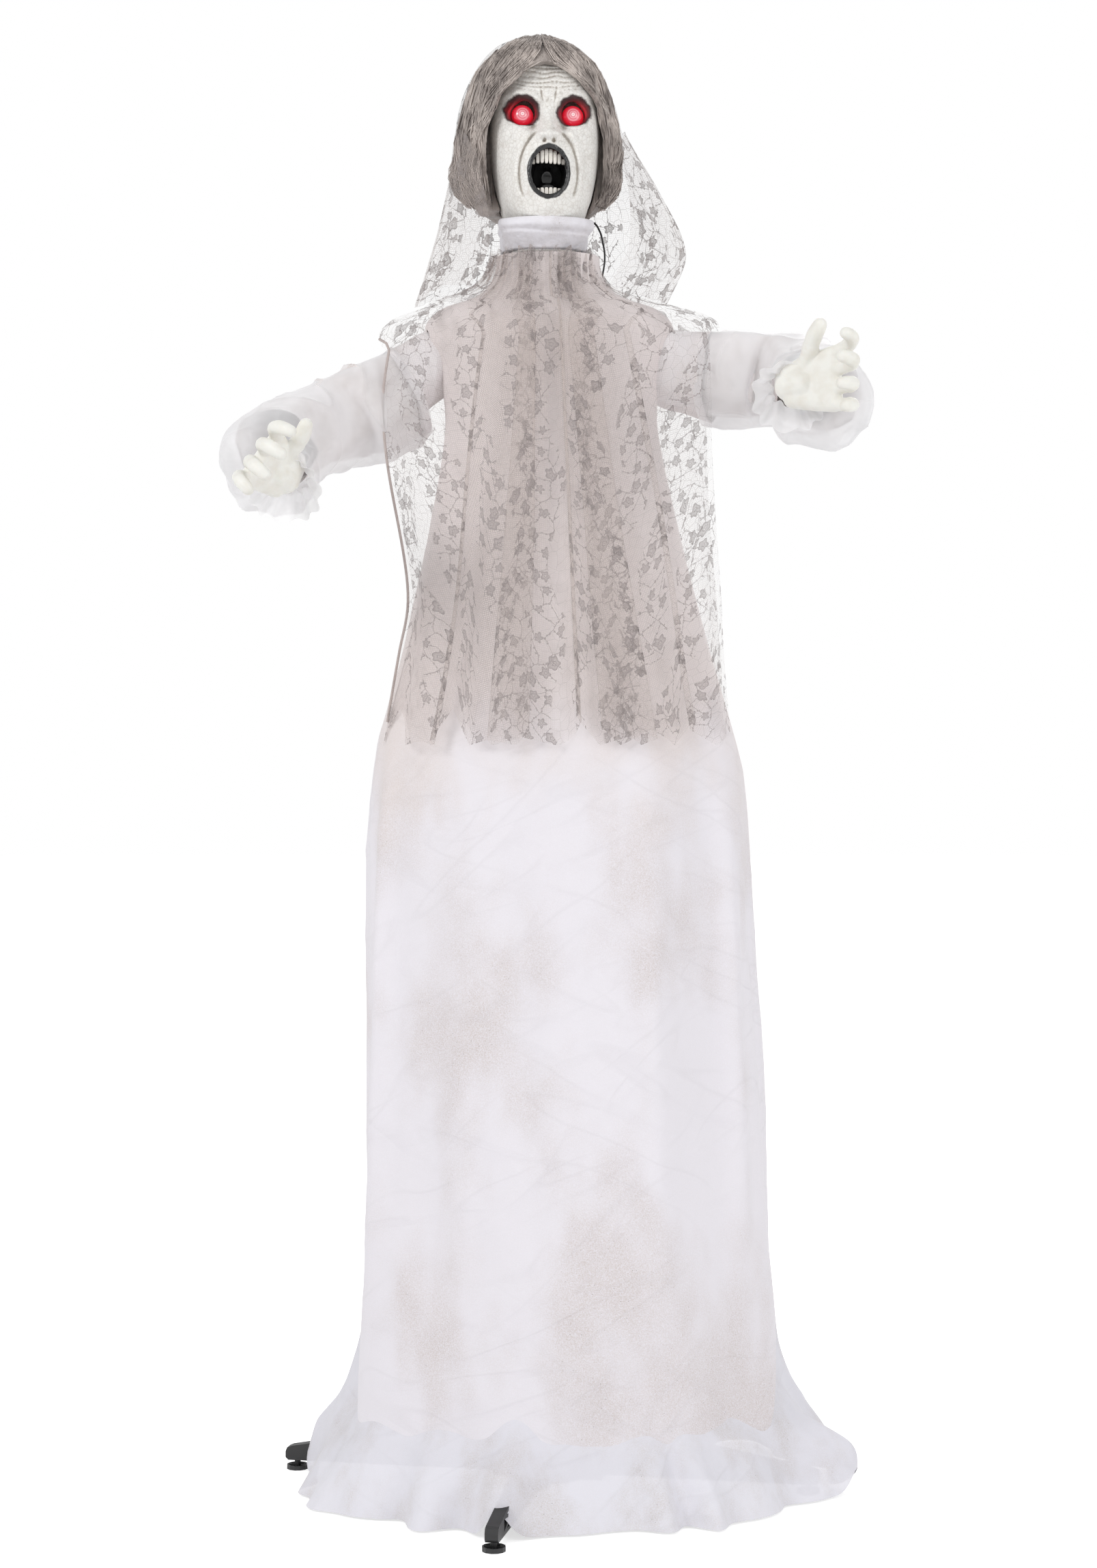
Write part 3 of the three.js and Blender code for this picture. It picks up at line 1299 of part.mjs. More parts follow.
function wig() {
  const height = wigTop - wigBottom;
  const rings = wigShares.map(([at, width, front, back], i) => oval({
    z: (angle) => wigBottom + at * height + (i === 0 ? wigWave * Math.cos(7 * angle) : 0),
    x: neckX + wigX,
    width: width * wigHalfWidth,
    front: front * wigFront,
    back: back * wigBack,
    sides: hairSides,
    fold: (angle) => (1 - at) * wigWave * Math.cos(10 * angle + 3 * at),
  }));
  const inside = skin(headRings(wigGap, headSides));
  const below = block(4 * headHalfWidth, 4 * headHalfWidth, 2 * headHeight, neckX, 0,
    headBottom - headHeight);
  const opening = [[-0.98, 0], [1, 0], [1, 0.6], [0.99, 0.7], [0.86, 0.82], [0.58, 0.92], [0.22, 0.985],
    [-0.05, 1], [-0.3, 0.985], [-0.66, 0.92], [-0.92, 0.82], [-1.02, 0.7], [-1.02, 0.6]];
  const opened = hairlineTop - headBottom;
  const face = pushedForward(opening.map(([x, z]) => [neckX + x * hairlineHalfWidth,
    headBottom + z * opened]), 2 * wigFront, hairCutDepth);
  return cut(skin(rings), inside, below, face);
}
add('wig', wig(), hair(), head);

// Veil: lace laid over the wig and hanging to the shoulders
const veilShares = [
  [0, 1, 0.6, 0.92, -0.05], [0.16, 0.99, 0.7, 0.96, 0.11], [0.398, 0.81, 0.9, 0.98, 0.09],
  [0.602, 0.655, 1, 0.975, 0.01],
  [0.734, 0.59, 1, 0.96, 0], [0.863, 0.47, 0.9, 0.84, 0], [0.953, 0.31, 0.6, 0.58, 0],
  [1, 0.09, 0.17, 0.17, 0],
];

function veil() {
  const veilTop = wigTop + wigGap + veilWall;
  const height = veilTop - veilBottom;
  const ringSet = (inset) => veilShares.map(([at, width, front, back, lean], i) => oval({
    z: (angle) => veilBottom + at * height - (i === veilShares.length - 1 ? inset : 0)
      + (i === 0 ? veilWave * Math.cos(5 * angle) - veilSideDrop * Math.cos(angle) ** 8 : 0),
    x: neckX + wigX + lean * veilHalfWidth,
    width: width * veilHalfWidth - inset,
    front: front * veilFront - inset,
    back: back * veilBack - inset,
    sides: hairSides,
    fold: (angle) => (1 - at) * veilWave * Math.cos(6 * angle + 2 * at),
  }));
  const opening = [[-0.96, 0], [1, 0], [0.98, 0.4], [1.06, 0.55], [1.5, 0.75], [1.5, 1], [-1.5, 1],
    [-1.5, 0.75], [-1.06, 0.55], [-1, 0.4]];
  const opened = veilOpeningTop - veilBottom + cutOverrun;
  const front = pushedForward(opening.map(([x, z]) => [
    neckX + wigX + x * veilOpeningHalfWidth, veilBottom - 2 * cutOverrun + z * opened]), 2 * veilFront,
      -hairCutDepth);
  return cut(skin([...ringSet(veilWall).reverse(), ...ringSet(0)]), front);
}
add('veil', veil(), laceCloth(), head);

// Head lead: two cores side by side, from the back shell down into the chest box
const leadRoute = [
  [-0.28, 1, 0], [0, 1, 0], [0.46, 0.88, 0.008], [0.71, 0.65, 0.085], [0.86, 0.35, 0.217],
  [0.93, 0.06, 0.364],
  [0.86, 0, 0.503], [0.68, 0, 0.666], [0.43, 0, 0.844], [0.18, 0, 0.944], [0.14, 0, 1],
].map(([out, back, down]) => new THREE.Vector3(
  leadHoleX + out * leadBow,
  leadEndY + back * (leadHoleY - leadEndY),
  leadHoleHeight - down * (leadHoleHeight - boxTop - leadEndGap),
));

function headLead() {
  const core = leadRadius / 2;
  const section = [];
  for (const middle of [core, -core]) {
    for (let i = 0; i < 4; i += 1) {
      const angle = degrees((middle > 0 ? -60 : 120) + 40 * i);
      section.push([middle + core * Math.cos(angle), core * Math.sin(angle)]);
    }
  }
  const shape = new THREE.Shape(section.map(([x, y]) => new THREE.Vector2(x, y)));
  return new THREE.ExtrudeGeometry(shape, {
    steps: 15, bevelEnabled: false, extrudePath: new THREE.CatmullRomCurve3(leadRoute),
  });
}
add('head_lead', headLead(), finish(0x151515, 0.5), head);

// Gown: a long folded tube with armholes
const gownShares = [
  [0, 1, 1], [0.13, 0.96, 0.92], [0.34, 0.915, 0.78], [0.57, 0.87, 0.65], [0.7, 0.695, 0.55],
  [0.877, 0.505, 0.42], [0.938, 0.525, 0.35], [0.973, 0.587, 0.28], [0.99, 0.515, 0.26], [1, 0.36, 0.25],
];
const skirtTopRow = 3;

function gownRing(at, inset) {
  const foldShare = Math.min(1, 1.15 * (1 - at));
  return oval({
    z: gownHem + at * (gownTop - gownHem),
    x: gownLean * (1 - at),
    width: readShares(gownShares, at, 1) * gownHalfWidth - inset,
    front: readShares(gownShares, at, 2) * gownHalfDepth - inset,
    back: readShares(gownShares, at, 2) * gownHalfDepth - inset,
    sides: gownSides,
    phase: -degrees(legTurn),
    power: 2.3,
    fold: (angle) => gownFold * foldShare * (0.6 * Math.cos(5 * angle + 0.7) + 0.4 * Math.cos(8 * angle + 2)),
  });
}

function gown() {
  const tube = clothShell(gownShares.map(([at]) => gownRing(at, 0)), clothWall);
  const armholeTop = shoulderHeight + knuckleRadius + seatGap;
  const armholes = [-1, 1].map((side) => block(2 * armholeReach, 2 * ponchoSlotHalf - armholeReach,
    armholeTop - armholeBottom,
    side * (shoulderX + armholeReach / 4), shoulderY, (armholeBottom + armholeTop) / 2));
  const open = block(4 * gownHalfWidth, 2 * gownHalfWidth, 2 * skirtFlareTop, 0,
    gownHalfWidth + frontPanelEdge, 0);
  return cut(tube, ...armholes, open);
}
add('gown', gown(), gownCloth());

// Underskirt: hangs inside the gown, spreads onto the floor past the front panel, and is arched over the legs
function underskirt() {
  const topShare = gownShares[skirtTopRow][0];
  const flareStart = (skirtFlareTop - gownHem) / (gownTop - gownHem);
  const inside = gownShares.filter(([at]) => at > flareStart && at <= topShare).map(([at]) => {
    const loose = at === topShare ? 2 * seatGap : 2 * clothWall * (1 - at);
    return gownRing(at, clothWall + loose);
  });
  // Height share below the flare's top, the flare at the front, at the sides and back, and its tent
  // over a leg
  const flareShares = [[0, 1, 1.06, 0.7], [0.08, 0.8, 0.9, 0.74], [0.2, 0.5, 0.72, 1.05], [0.34, 0, 0.4, 0],
    [1, 0, 0, 0]];
  const flare = flareShares.map(([heightShare, frontFlare, sideFlare, tent]) => {
    const z = skirtBottom + heightShare * (skirtFlareTop - skirtBottom);
    const at = Math.max(0, (z - gownHem) / (gownTop - gownHem));
    return gownRing(at, clothWall + skirtInset).map((point, j) => {
      const angle = (2 * Math.PI * j) / gownSides - degrees(legTurn);
      const share = THREE.MathUtils.lerp(frontFlare, sideFlare,
        THREE.MathUtils.smoothstep(Math.sin(angle), -0.25, 0));
      const overLeg = hump(Math.abs(Math.cos(angle + degrees(legTurn))), 0.12);
      const waved = share * (1 + (skirtFold / skirtFlareX) * Math.cos(9 * angle)) * (1 - overLeg)
        + overLeg * (share + tent);
      return new THREE.Vector3(
        point.x + waved * skirtFlareX * Math.cos(angle), point.y + waved * skirtFlareY * Math.sin(angle), z);
    });
  });
  const near = legReach / 2;
  const archOutline = [[near, 0], [legReach + legArchMargin, 0]];
  archOutline.push([legReach + legArchMargin, legTop(legReach) + legArchMargin],
    [near, legTop(near) + legArchMargin]);
  const archWidth = legWidth + 2 * legArchMargin;
  const arch = pushed(archOutline, archWidth).rotateX(degrees(90)).translate(0, archWidth / 2, 0);
  const arches = [0, 1, 2, 3].map((i) => arch.clone().rotateZ(degrees(90 * i - legTurn)));
  return cut(clothShell([...flare, ...inside], clothWall), ...arches);
}
add('underskirt', underskirt(), gownCloth());

// Poncho: lace front and back joined over the shoulders, open at the sides, with a jagged hem
const ponchoShares = [
  [0, 1, 1], [0.3, 0.98, 0.9], [0.6, 0.975, 0.78], [0.854, 0.98, 0.64], [0.874, 0.9, 0.58],
  [0.89, 0.73, 0.51], [0.91, 0.57, 0.46], [0.942, 0.375, 0.42], [1, 0.28, 0.395],
];

function poncho() {
  const height = ponchoTop - ponchoHem;
  const dipTurn = degrees(24);
  // The shoulder on the side of the lowered arm hangs lower
  const [sagEnd, sagFull] = [ponchoShares.at(-3)[0], ponchoShares.at(-5)[0]];
  const sag = (at) => ponchoSag
    * (at < sagFull ? at / sagFull : Math.max(sagEnd - at, 0) / (sagEnd - sagFull));
  const rings = ponchoShares.map(([at, width, front], i) => {
    const neckline = i === ponchoShares.length - 1;
    const opened = (angle) => (neckline ? hump(Math.min(angle, 2 * Math.PI - angle), dipTurn) : 0);
    return oval({
      z: (angle) => ponchoHem + at * height - necklineDip * opened(angle)
        - sag(at) * Math.min(Math.cos(angle), 0) ** 2,
      x: at > 0.9 ? neckX : ponchoLean * (1 - at),
      width: width * ponchoHalfWidth,
      front: front * ponchoHalfDepth,
      back: front * ponchoHalfDepth,
      sides: ponchoSides,
      power: at < 0.86 ? 3 : 2.2,
      fold: (angle) => ponchoFold * Math.min(1, 1.1 - at) * Math.cos(11 * angle + 0.4)
        + necklineEase * opened(angle),
    });
  });
  const slotTop = shoulderHeight + knuckleRadius + sleeveTopGap;
  const slots = [-1, 1].map((side) => block(2 * ponchoHalfWidth, 2 * ponchoSlotHalf,
    2 * (slotTop - (side < 0 ? ponchoSag : 0) - ponchoHem), side * (1.66 * ponchoHalfWidth), shoulderY,
      ponchoHem));
  const pitch = (2.2 * ponchoHalfWidth) / ponchoPoints;
  const teethLine = [[-1.2 * ponchoHalfWidth, ponchoHem - ponchoPointHeight],
    [1.2 * ponchoHalfWidth, ponchoHem - ponchoPointHeight]];
  for (let i = ponchoPoints; i >= 0; i -= 1) {
    const x = -1.1 * ponchoHalfWidth + i * pitch;
    teethLine.push([x + pitch / 4, ponchoHem + ponchoPointHeight * (0.7 + 0.3 * Math.cos(3 * i))]);
    teethLine.push([x - pitch / 4, ponchoHem - seatGap]);
  }
  const hem = pushedForward(teethLine, 4 * ponchoHalfDepth, -2 * ponchoHalfDepth);
  return cut(clothShell(rings, clothWall), ...slots, hem);
}
add('lace_poncho', poncho(), laceCloth());

export default model;
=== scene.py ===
import bisect
import functools
import math
import random

import bmesh
import bpy
from mathutils import Matrix, Vector, noise


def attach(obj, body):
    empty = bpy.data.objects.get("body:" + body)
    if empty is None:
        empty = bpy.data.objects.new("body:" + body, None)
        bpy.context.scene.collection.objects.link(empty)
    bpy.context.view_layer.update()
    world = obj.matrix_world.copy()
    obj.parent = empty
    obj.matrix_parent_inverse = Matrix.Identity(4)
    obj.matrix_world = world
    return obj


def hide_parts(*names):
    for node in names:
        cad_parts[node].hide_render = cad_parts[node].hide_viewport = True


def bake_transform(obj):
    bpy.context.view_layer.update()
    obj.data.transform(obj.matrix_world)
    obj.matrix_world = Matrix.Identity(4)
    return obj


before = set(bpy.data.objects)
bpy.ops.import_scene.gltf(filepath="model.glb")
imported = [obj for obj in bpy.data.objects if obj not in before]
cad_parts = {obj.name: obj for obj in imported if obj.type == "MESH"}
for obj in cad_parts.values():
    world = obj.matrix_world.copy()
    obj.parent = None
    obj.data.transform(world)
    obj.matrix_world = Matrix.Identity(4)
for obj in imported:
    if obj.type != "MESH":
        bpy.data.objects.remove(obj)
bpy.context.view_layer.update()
print("frame loaded")

# The figure's own place and turn, in metres and degrees
figure = {"neckX": -0.006, "headTurn": 4, "legTurn": 11, "chin": 1.550, "headHeight": 0.256}
neck = Vector((figure["neckX"], 0, 0))
headTurned = (Matrix.Translation(neck) @ Matrix.Rotation(math.radians(figure["headTurn"]), 4, "Z")
              @ Matrix.Translation(-neck))
random.seed(11)


# Small helpers for shapes
def hump(distance, spread):
    return math.exp(-((distance / spread) ** 2))


def smooth(low, high, value):
    t = min(max((value - low) / (high - low), 0), 1)
    return t * t * (3 - 2 * t)


def mix(a, b, share):
    return a + (b - a) * share


def ripple(x, y, z=0):
    return noise.noise(Vector((x, y, z)))


def crease(x, y, z=0):  # sharp ridges, as pressed cloth keeps
    return (1 - abs(ripple(x, y, z)) * 2.2) ** 3


def signedPower(value, power):
    return math.copysign(abs(value) ** power, value)


def readRows(rows, at):  # one smooth curve through all the rows of a table whose first column rises
    at = min(max(at, rows[0][0]), rows[-1][0])
    i = max(k for k in range(len(rows) - 1) if rows[k][0] <= at)
    a, b = rows[i], rows[i + 1]
    before, after = rows[max(i - 1, 0)], rows[min(i + 2, len(rows) - 1)]
    span = b[0] - a[0]
    t = (at - a[0]) / span
    read = []
    for k in range(1, len(a)):
        slopeA = (b[k] - before[k]) * (span / (b[0] - before[0]))
        slopeB = (after[k] - a[k]) * (span / (after[0] - a[0]))
        read.append(a[k] * (2 * t ** 3 - 3 * t * t + 1) + slopeA * (t ** 3 - 2 * t * t + t)
                    + b[k] * (3 * t * t - 2 * t ** 3) + slopeB * (t ** 3 - t * t))
    return read


def linkMesh(form, name, finish):
    mesh = bpy.data.meshes.new(name)
    form.to_mesh(mesh)
    form.free()
    for face in mesh.polygons:
        face.use_smooth = True
    mesh.materials.append(finish)
    piece = bpy.data.objects.new(name, mesh)
    bpy.context.scene.collection.objects.link(piece)
    return piece


def clothForm(columns, rows, place, cut, closed=False, upright=True):  # a grid of cloth with its own UV in metres
    form = bmesh.new()
    threads = form.loops.layers.uv.new("cloth")
    bmesh.ops.create_grid(form, x_segments=columns, y_segments=rows, size=0.5)
    for face in form.faces:
        for loop in face.loops:
            loop[threads].uv = ((loop.vert.co.x + 0.5) * cut[0], (loop.vert.co.y + 0.5) * cut[1])
    for vert in form.verts:
        vert.co = place(vert.co.x + 0.5, vert.co.y + 0.5)
    if closed:
        bmesh.ops.remove_doubles(form, verts=form.verts, dist=1e-5)
    form.normal_update()
    middle = sum((vert.co for vert in form.verts), Vector()) / len(form.verts)
    outward = 0
    for face in form.faces:
        reach = face.calc_center_median() - (Vector((0, 0, 0)) if upright else middle)
        if upright:
            reach.z = 0
        outward += face.normal.dot(reach) * face.calc_area()
    if outward < 0:
        bmesh.ops.reverse_faces(form, faces=form.faces)
    return form


def storeGather(form):  # how many times over the cloth lies at each place, for the lace to close up there
    threads = form.loops.layers.uv["cloth"]
    gather = form.verts.layers.float.new("gather")
    form.faces.ensure_lookup_table()
    flat = (form.faces[0].loops[2][threads].uv - form.faces[0].loops[0][threads].uv)
    flat = abs(flat.x * flat.y)  # every square of the cloth is cut alike
    for vert in form.verts:
        vert[gather] = flat * len(vert.link_faces) / max(sum(face.calc_area() for face in vert.link_faces), 1e-9)


def layPattern(form):  # a second UV measured in metres along the cloth as it lies, so a woven figure keeps its shape
    threads = form.loops.layers.uv["cloth"]
    columns = sorted({round(loop[threads].uv.x, 5) for face in form.faces for loop in face.loops})
    rows = sorted({round(loop[threads].uv.y, 5) for face in form.faces for loop in face.loops})
    spots = {(round(loop[threads].uv.x, 5), round(loop[threads].uv.y, 5)): loop.vert.co.copy()
             for face in form.faces for loop in face.loops}
    middle = columns[len(columns) // 2]
    climbed, height = {}, 0
    walked = {}
    for j, row in enumerate(rows):
        if j:
            height += (spots[middle, row] - spots[middle, rows[j - 1]]).length
        climbed[row] = height
        length = 0
        for i, column in enumerate(columns):
            if i:
                length += (spots[column, row] - spots[columns[i - 1], row]).length
            walked[column, row] = length
    pattern = form.loops.layers.uv.new("pattern")
    for face in form.faces:
        for loop in face.loops:
            column, row = round(loop[threads].uv.x, 5), round(loop[threads].uv.y, 5)
            loop[pattern].uv = (walked[column, row] - walked[middle, row], climbed[row])


def melt(piece, voxel, rounds):  # one skin over the whole piece, relaxed a number of times
    remesh = piece.modifiers.new("melt", "REMESH")
    remesh.mode = "VOXEL"
    remesh.voxel_size = voxel
    relax = piece.modifiers.new("relax", "SMOOTH")
    relax.factor = 0.5
    relax.iterations = rounds
    mesh = bpy.data.meshes.new_from_object(piece.evaluated_get(bpy.context.evaluated_depsgraph_get()))
    piece.modifiers.clear()
    piece.data = mesh
    for face in mesh.polygons:
        face.use_smooth = True


def thicken(piece, wall):  # gives a skin its wall, inwards
    shell = piece.modifiers.new("wall", "SOLIDIFY")
    shell.thickness = wall
    shell.offset = -1


def mouldedCopy(node, name, finish, voxel, rounds):  # the CAD piece with its facets melted away, as a moulding has
    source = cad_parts[node]
    form = bmesh.new()
    form.from_mesh(source.data)
    form.transform(source.matrix_world)
    bmesh.ops.remove_doubles(form, verts=form.verts, dist=1e-5)
    piece = linkMesh(form, name, finish)
    melt(piece, voxel, rounds)
    return piece


def newCurve(name, radius, sides):  # a round strand along the splines that it is given
    curve = bpy.data.curves.new(name, "CURVE")
    curve.dimensions = "3D"
    curve.bevel_depth = radius
    curve.bevel_resolution = sides
    return curve


def linkCurve(curve, name, finish):
    holder = bpy.data.objects.new(name + "_line", curve)
    bpy.context.scene.collection.objects.link(holder)
    bpy.context.view_layer.update()
    mesh = bpy.data.meshes.new_from_object(holder.evaluated_get(bpy.context.evaluated_depsgraph_get()))
    bpy.data.objects.remove(holder)
    mesh.materials.clear()
    mesh.materials.append(finish)
    for face in mesh.polygons:
        face.use_smooth = True
    piece = bpy.data.objects.new(name, mesh)
    bpy.context.scene.collection.objects.link(piece)
    return piece


# Materials
def hexColor(text):  # sRGB hex to linear
    channels = [int(text[i:i + 2], 16) / 255 for i in (1, 3, 5)]
    return [c / 12.92 if c <= 0.04045 else ((c + 0.055) / 1.055) ** 2.4 for c in channels] + [1]


def plug(node, inputs):  # links or sets each input: a node stands for its first output, a text for a colour
    for key, value in inputs.items():
        if isinstance(value, bpy.types.Node):
            value = value.outputs[0]
        if isinstance(value, bpy.types.NodeSocket):
            node.id_data.links.new(value, node.inputs[key])
        else:
            node.inputs[key].default_value = hexColor(value) if isinstance(value, str) else value


def addNode(tree, kind, inputs=None, **settings):
    node = tree.nodes.new("ShaderNode" + kind)
    stops = settings.pop("stops", [])
    while stops and len(node.color_ramp.elements) < len(stops):
        node.color_ramp.elements.new(0.5)
    for (position, color), element in zip(stops, node.color_ramp.elements if stops else []):
        element.position = position
        element.color = hexColor(color) if isinstance(color, str) else [color] * 3 + [1]
    for key, value in settings.items():
        setattr(node, key, value)
    plug(node, inputs or {})
    return node


def newFinish(name, surface):  # the material, what adds its nodes, its shader, and the place on the object
    finish = bpy.data.materials.new(name)
    finish.use_nodes = True
    finish.node_tree.nodes.clear()
    add = functools.partial(addNode, finish.node_tree)
    shader = add("BsdfPrincipled", surface)
    add("OutputMaterial", {"Surface": shader})
    return finish, add, shader, add("TexCoord").outputs["Object"]


def perMillimetre(size):  # texture scale for a pattern that repeats every so many millimetres
    return 1000 / size


# Injection-moulded ABS: fine spark-eroded texture, its gloss varying in broad clouds
def mouldedAbs(name, color, grain=0.8, roughness=0.5):
    finish, add, shader, place = newFinish(name, {"IOR": 1.53})
    grainNoise = add("TexNoise", {"Vector": place, "Scale": perMillimetre(grain), "Detail": 4})
    cloud = add("TexNoise", {"Vector": place, "Scale": perMillimetre(45)})
    tone = add("MixRGB", {0: 0.25, 1: color, 2: cloud.outputs["Color"]}, blend_type="MULTIPLY")
    sheen = add("MapRange", {0: cloud, 1: 0.3, 2: 0.7, 3: roughness - 0.07, 4: roughness + 0.08})
    bump = add("Bump", {"Strength": 0.25, "Distance": 0.0002, "Height": grainNoise})
    plug(shader, {"Base Color": tone, "Roughness": sheen, "Normal": bump})
    return finish


# Drawn steel tube: bright, with fine lines along the draw
def drawnSteel(name, color):
    finish, add, shader, place = newFinish(name, {"Metallic": 1, "Base Color": color})
    lines = add("Mapping", {"Vector": place, "Scale": (1, 1, 0.02)})
    draw = add("TexNoise", {"Vector": lines, "Scale": perMillimetre(0.9), "Detail": 5})
    gloss = add("MapRange", {0: draw, 3: 0.24, 4: 0.42})
    bump = add("Bump", {"Strength": 0.1, "Distance": 0.0001, "Height": draw})
    plug(shader, {"Roughness": gloss, "Normal": bump})
    return finish


# Spunbond polyester, sprayed: a dull off-white web of pressed fibres under a mist of warm grey drops
def sprayedSpunbond(name, cloth, spray, amount, patch, alpha=1.0, seed=0.0, under=None):
    finish, add, shader, place = newFinish(name, {"Roughness": 0.86, "IOR": 1.46, "Sheen Weight": 0.25,
        "Alpha": alpha, "Sheen Roughness": 0.5})
    moved = add("Mapping", {"Vector": place, "Location": (seed, seed, seed), "Scale": (1, 1, 0.55)})
    clouds = add("TexNoise", {"Vector": moved, "Scale": perMillimetre(patch), "Detail": 3, "Roughness": 0.6})
    cloudShare = add("MapRange", {0: clouds, 1: 0.42, 2: 0.68, 3: 0.12, 4: 1}, interpolation_type="SMOOTHSTEP")
    # drops drawn at 1.5 mm to show
    mist = add("TexNoise", {"Vector": place, "Scale": perMillimetre(1.5), "Detail": 3, "Roughness": 0.75})
    mistShare = add("MapRange", {0: mist, 1: 0.3, 2: 0.7})
    share = add("Math", {0: cloudShare, 1: mistShare}, operation="MULTIPLY")
    share = add("Math", {0: share, 1: amount}, operation="MULTIPLY")
    drops = add("TexVoronoi", {"Vector": place, "Scale": perMillimetre(8)})
    dropSize = add("Math", {0: cloudShare, 1: 0.085}, operation="MULTIPLY")
    drop = add("Math", {0: drops.outputs["Distance"], 1: dropSize}, operation="LESS_THAN")
    sprayed = add("MixRGB", {0: share, 1: cloth, 2: spray})
    dropTone = add("Math", {0: drop, 1: 0.5}, operation="MULTIPLY")
    speckled = add("MixRGB", {0: dropTone, 1: sprayed, 2: "#8f8582"})
    if under:  # a second coat towards the top, from one height to another
        height = add("SeparateXYZ", {0: place})
        ragged = add("Math", {0: clouds, 1: 0.5, 2: height.outputs[2]}, operation="MULTIPLY_ADD")
        coat = add("MapRange", {0: ragged, 1: under["from"] + 0.25, 2: under["to"] + 0.25, 4: under["cover"]},
            interpolation_type="SMOOTHSTEP")
        speckled = add("MixRGB", {0: coat, 1: speckled, 2: under["color"]})
    web = add("TexNoise", {"Vector": place, "Scale": perMillimetre(1.4), "Detail": 5, "Roughness": 0.7})
    # the folds it was packed in: thin pressed lines, each set running its own way, here and there, raised in the bump
    # and drawn a little darker as painted shade
    relief, lines = clouds, 0.0
    for turned, size, shift in ((0.75, 34, 0.0), (1.2, 30, 0.7), (-1.15, 38, 1.9)):
        across = add("Mapping", {"Vector": place, "Rotation": (0.1, turned, 0.1),
            "Location": (seed + shift, turned, 0), "Scale": (1, 3, 5)}, vector_type="TEXTURE")
        pressed = add("TexNoise", {"Vector": across, "Scale": perMillimetre(size), "Detail": 0.4})
        middle = add("Math", {0: pressed, 1: 0.5}, operation="SUBTRACT")
        middle = add("Math", {0: middle}, operation="ABSOLUTE")
        line = add("MapRange", {0: middle, 1: 0.0, 2: 0.045, 3: 1, 4: 0})
        presence = add("TexNoise", {"Vector": across, "Scale": perMillimetre(75)})
        shown = add("MapRange", {0: presence, 1: 0.5, 2: 0.62})
        line = add("Math", {0: line, 1: shown}, operation="MULTIPLY")
        relief = add("Math", {0: line, 1: 0.05, 2: relief}, operation="MULTIPLY_ADD")
        slope = add("Math", {0: pressed, 1: shown}, operation="MULTIPLY")
        relief = add("Math", {0: slope, 1: 0.35, 2: relief}, operation="MULTIPLY_ADD")
        lines = add("Math", {0: line, 1: lines}, operation="MAXIMUM")
    # painted shade: the pressed lines tint the colour a little darker
    creaseLineShade = add("Math", {0: lines, 1: 0.06}, operation="MULTIPLY")
    speckled = add("MixRGB", {0: creaseLineShade, 1: speckled, 2: "#a39c9e"})
    webBump = add("Bump", {"Strength": 0.3, "Distance": 0.0004, "Height": web})
    bump = add("Bump", {"Strength": 0.6, "Distance": 0.009, "Height": relief, "Normal": webBump})
    plug(shader, {"Base Color": speckled, "Normal": bump})
    return finish


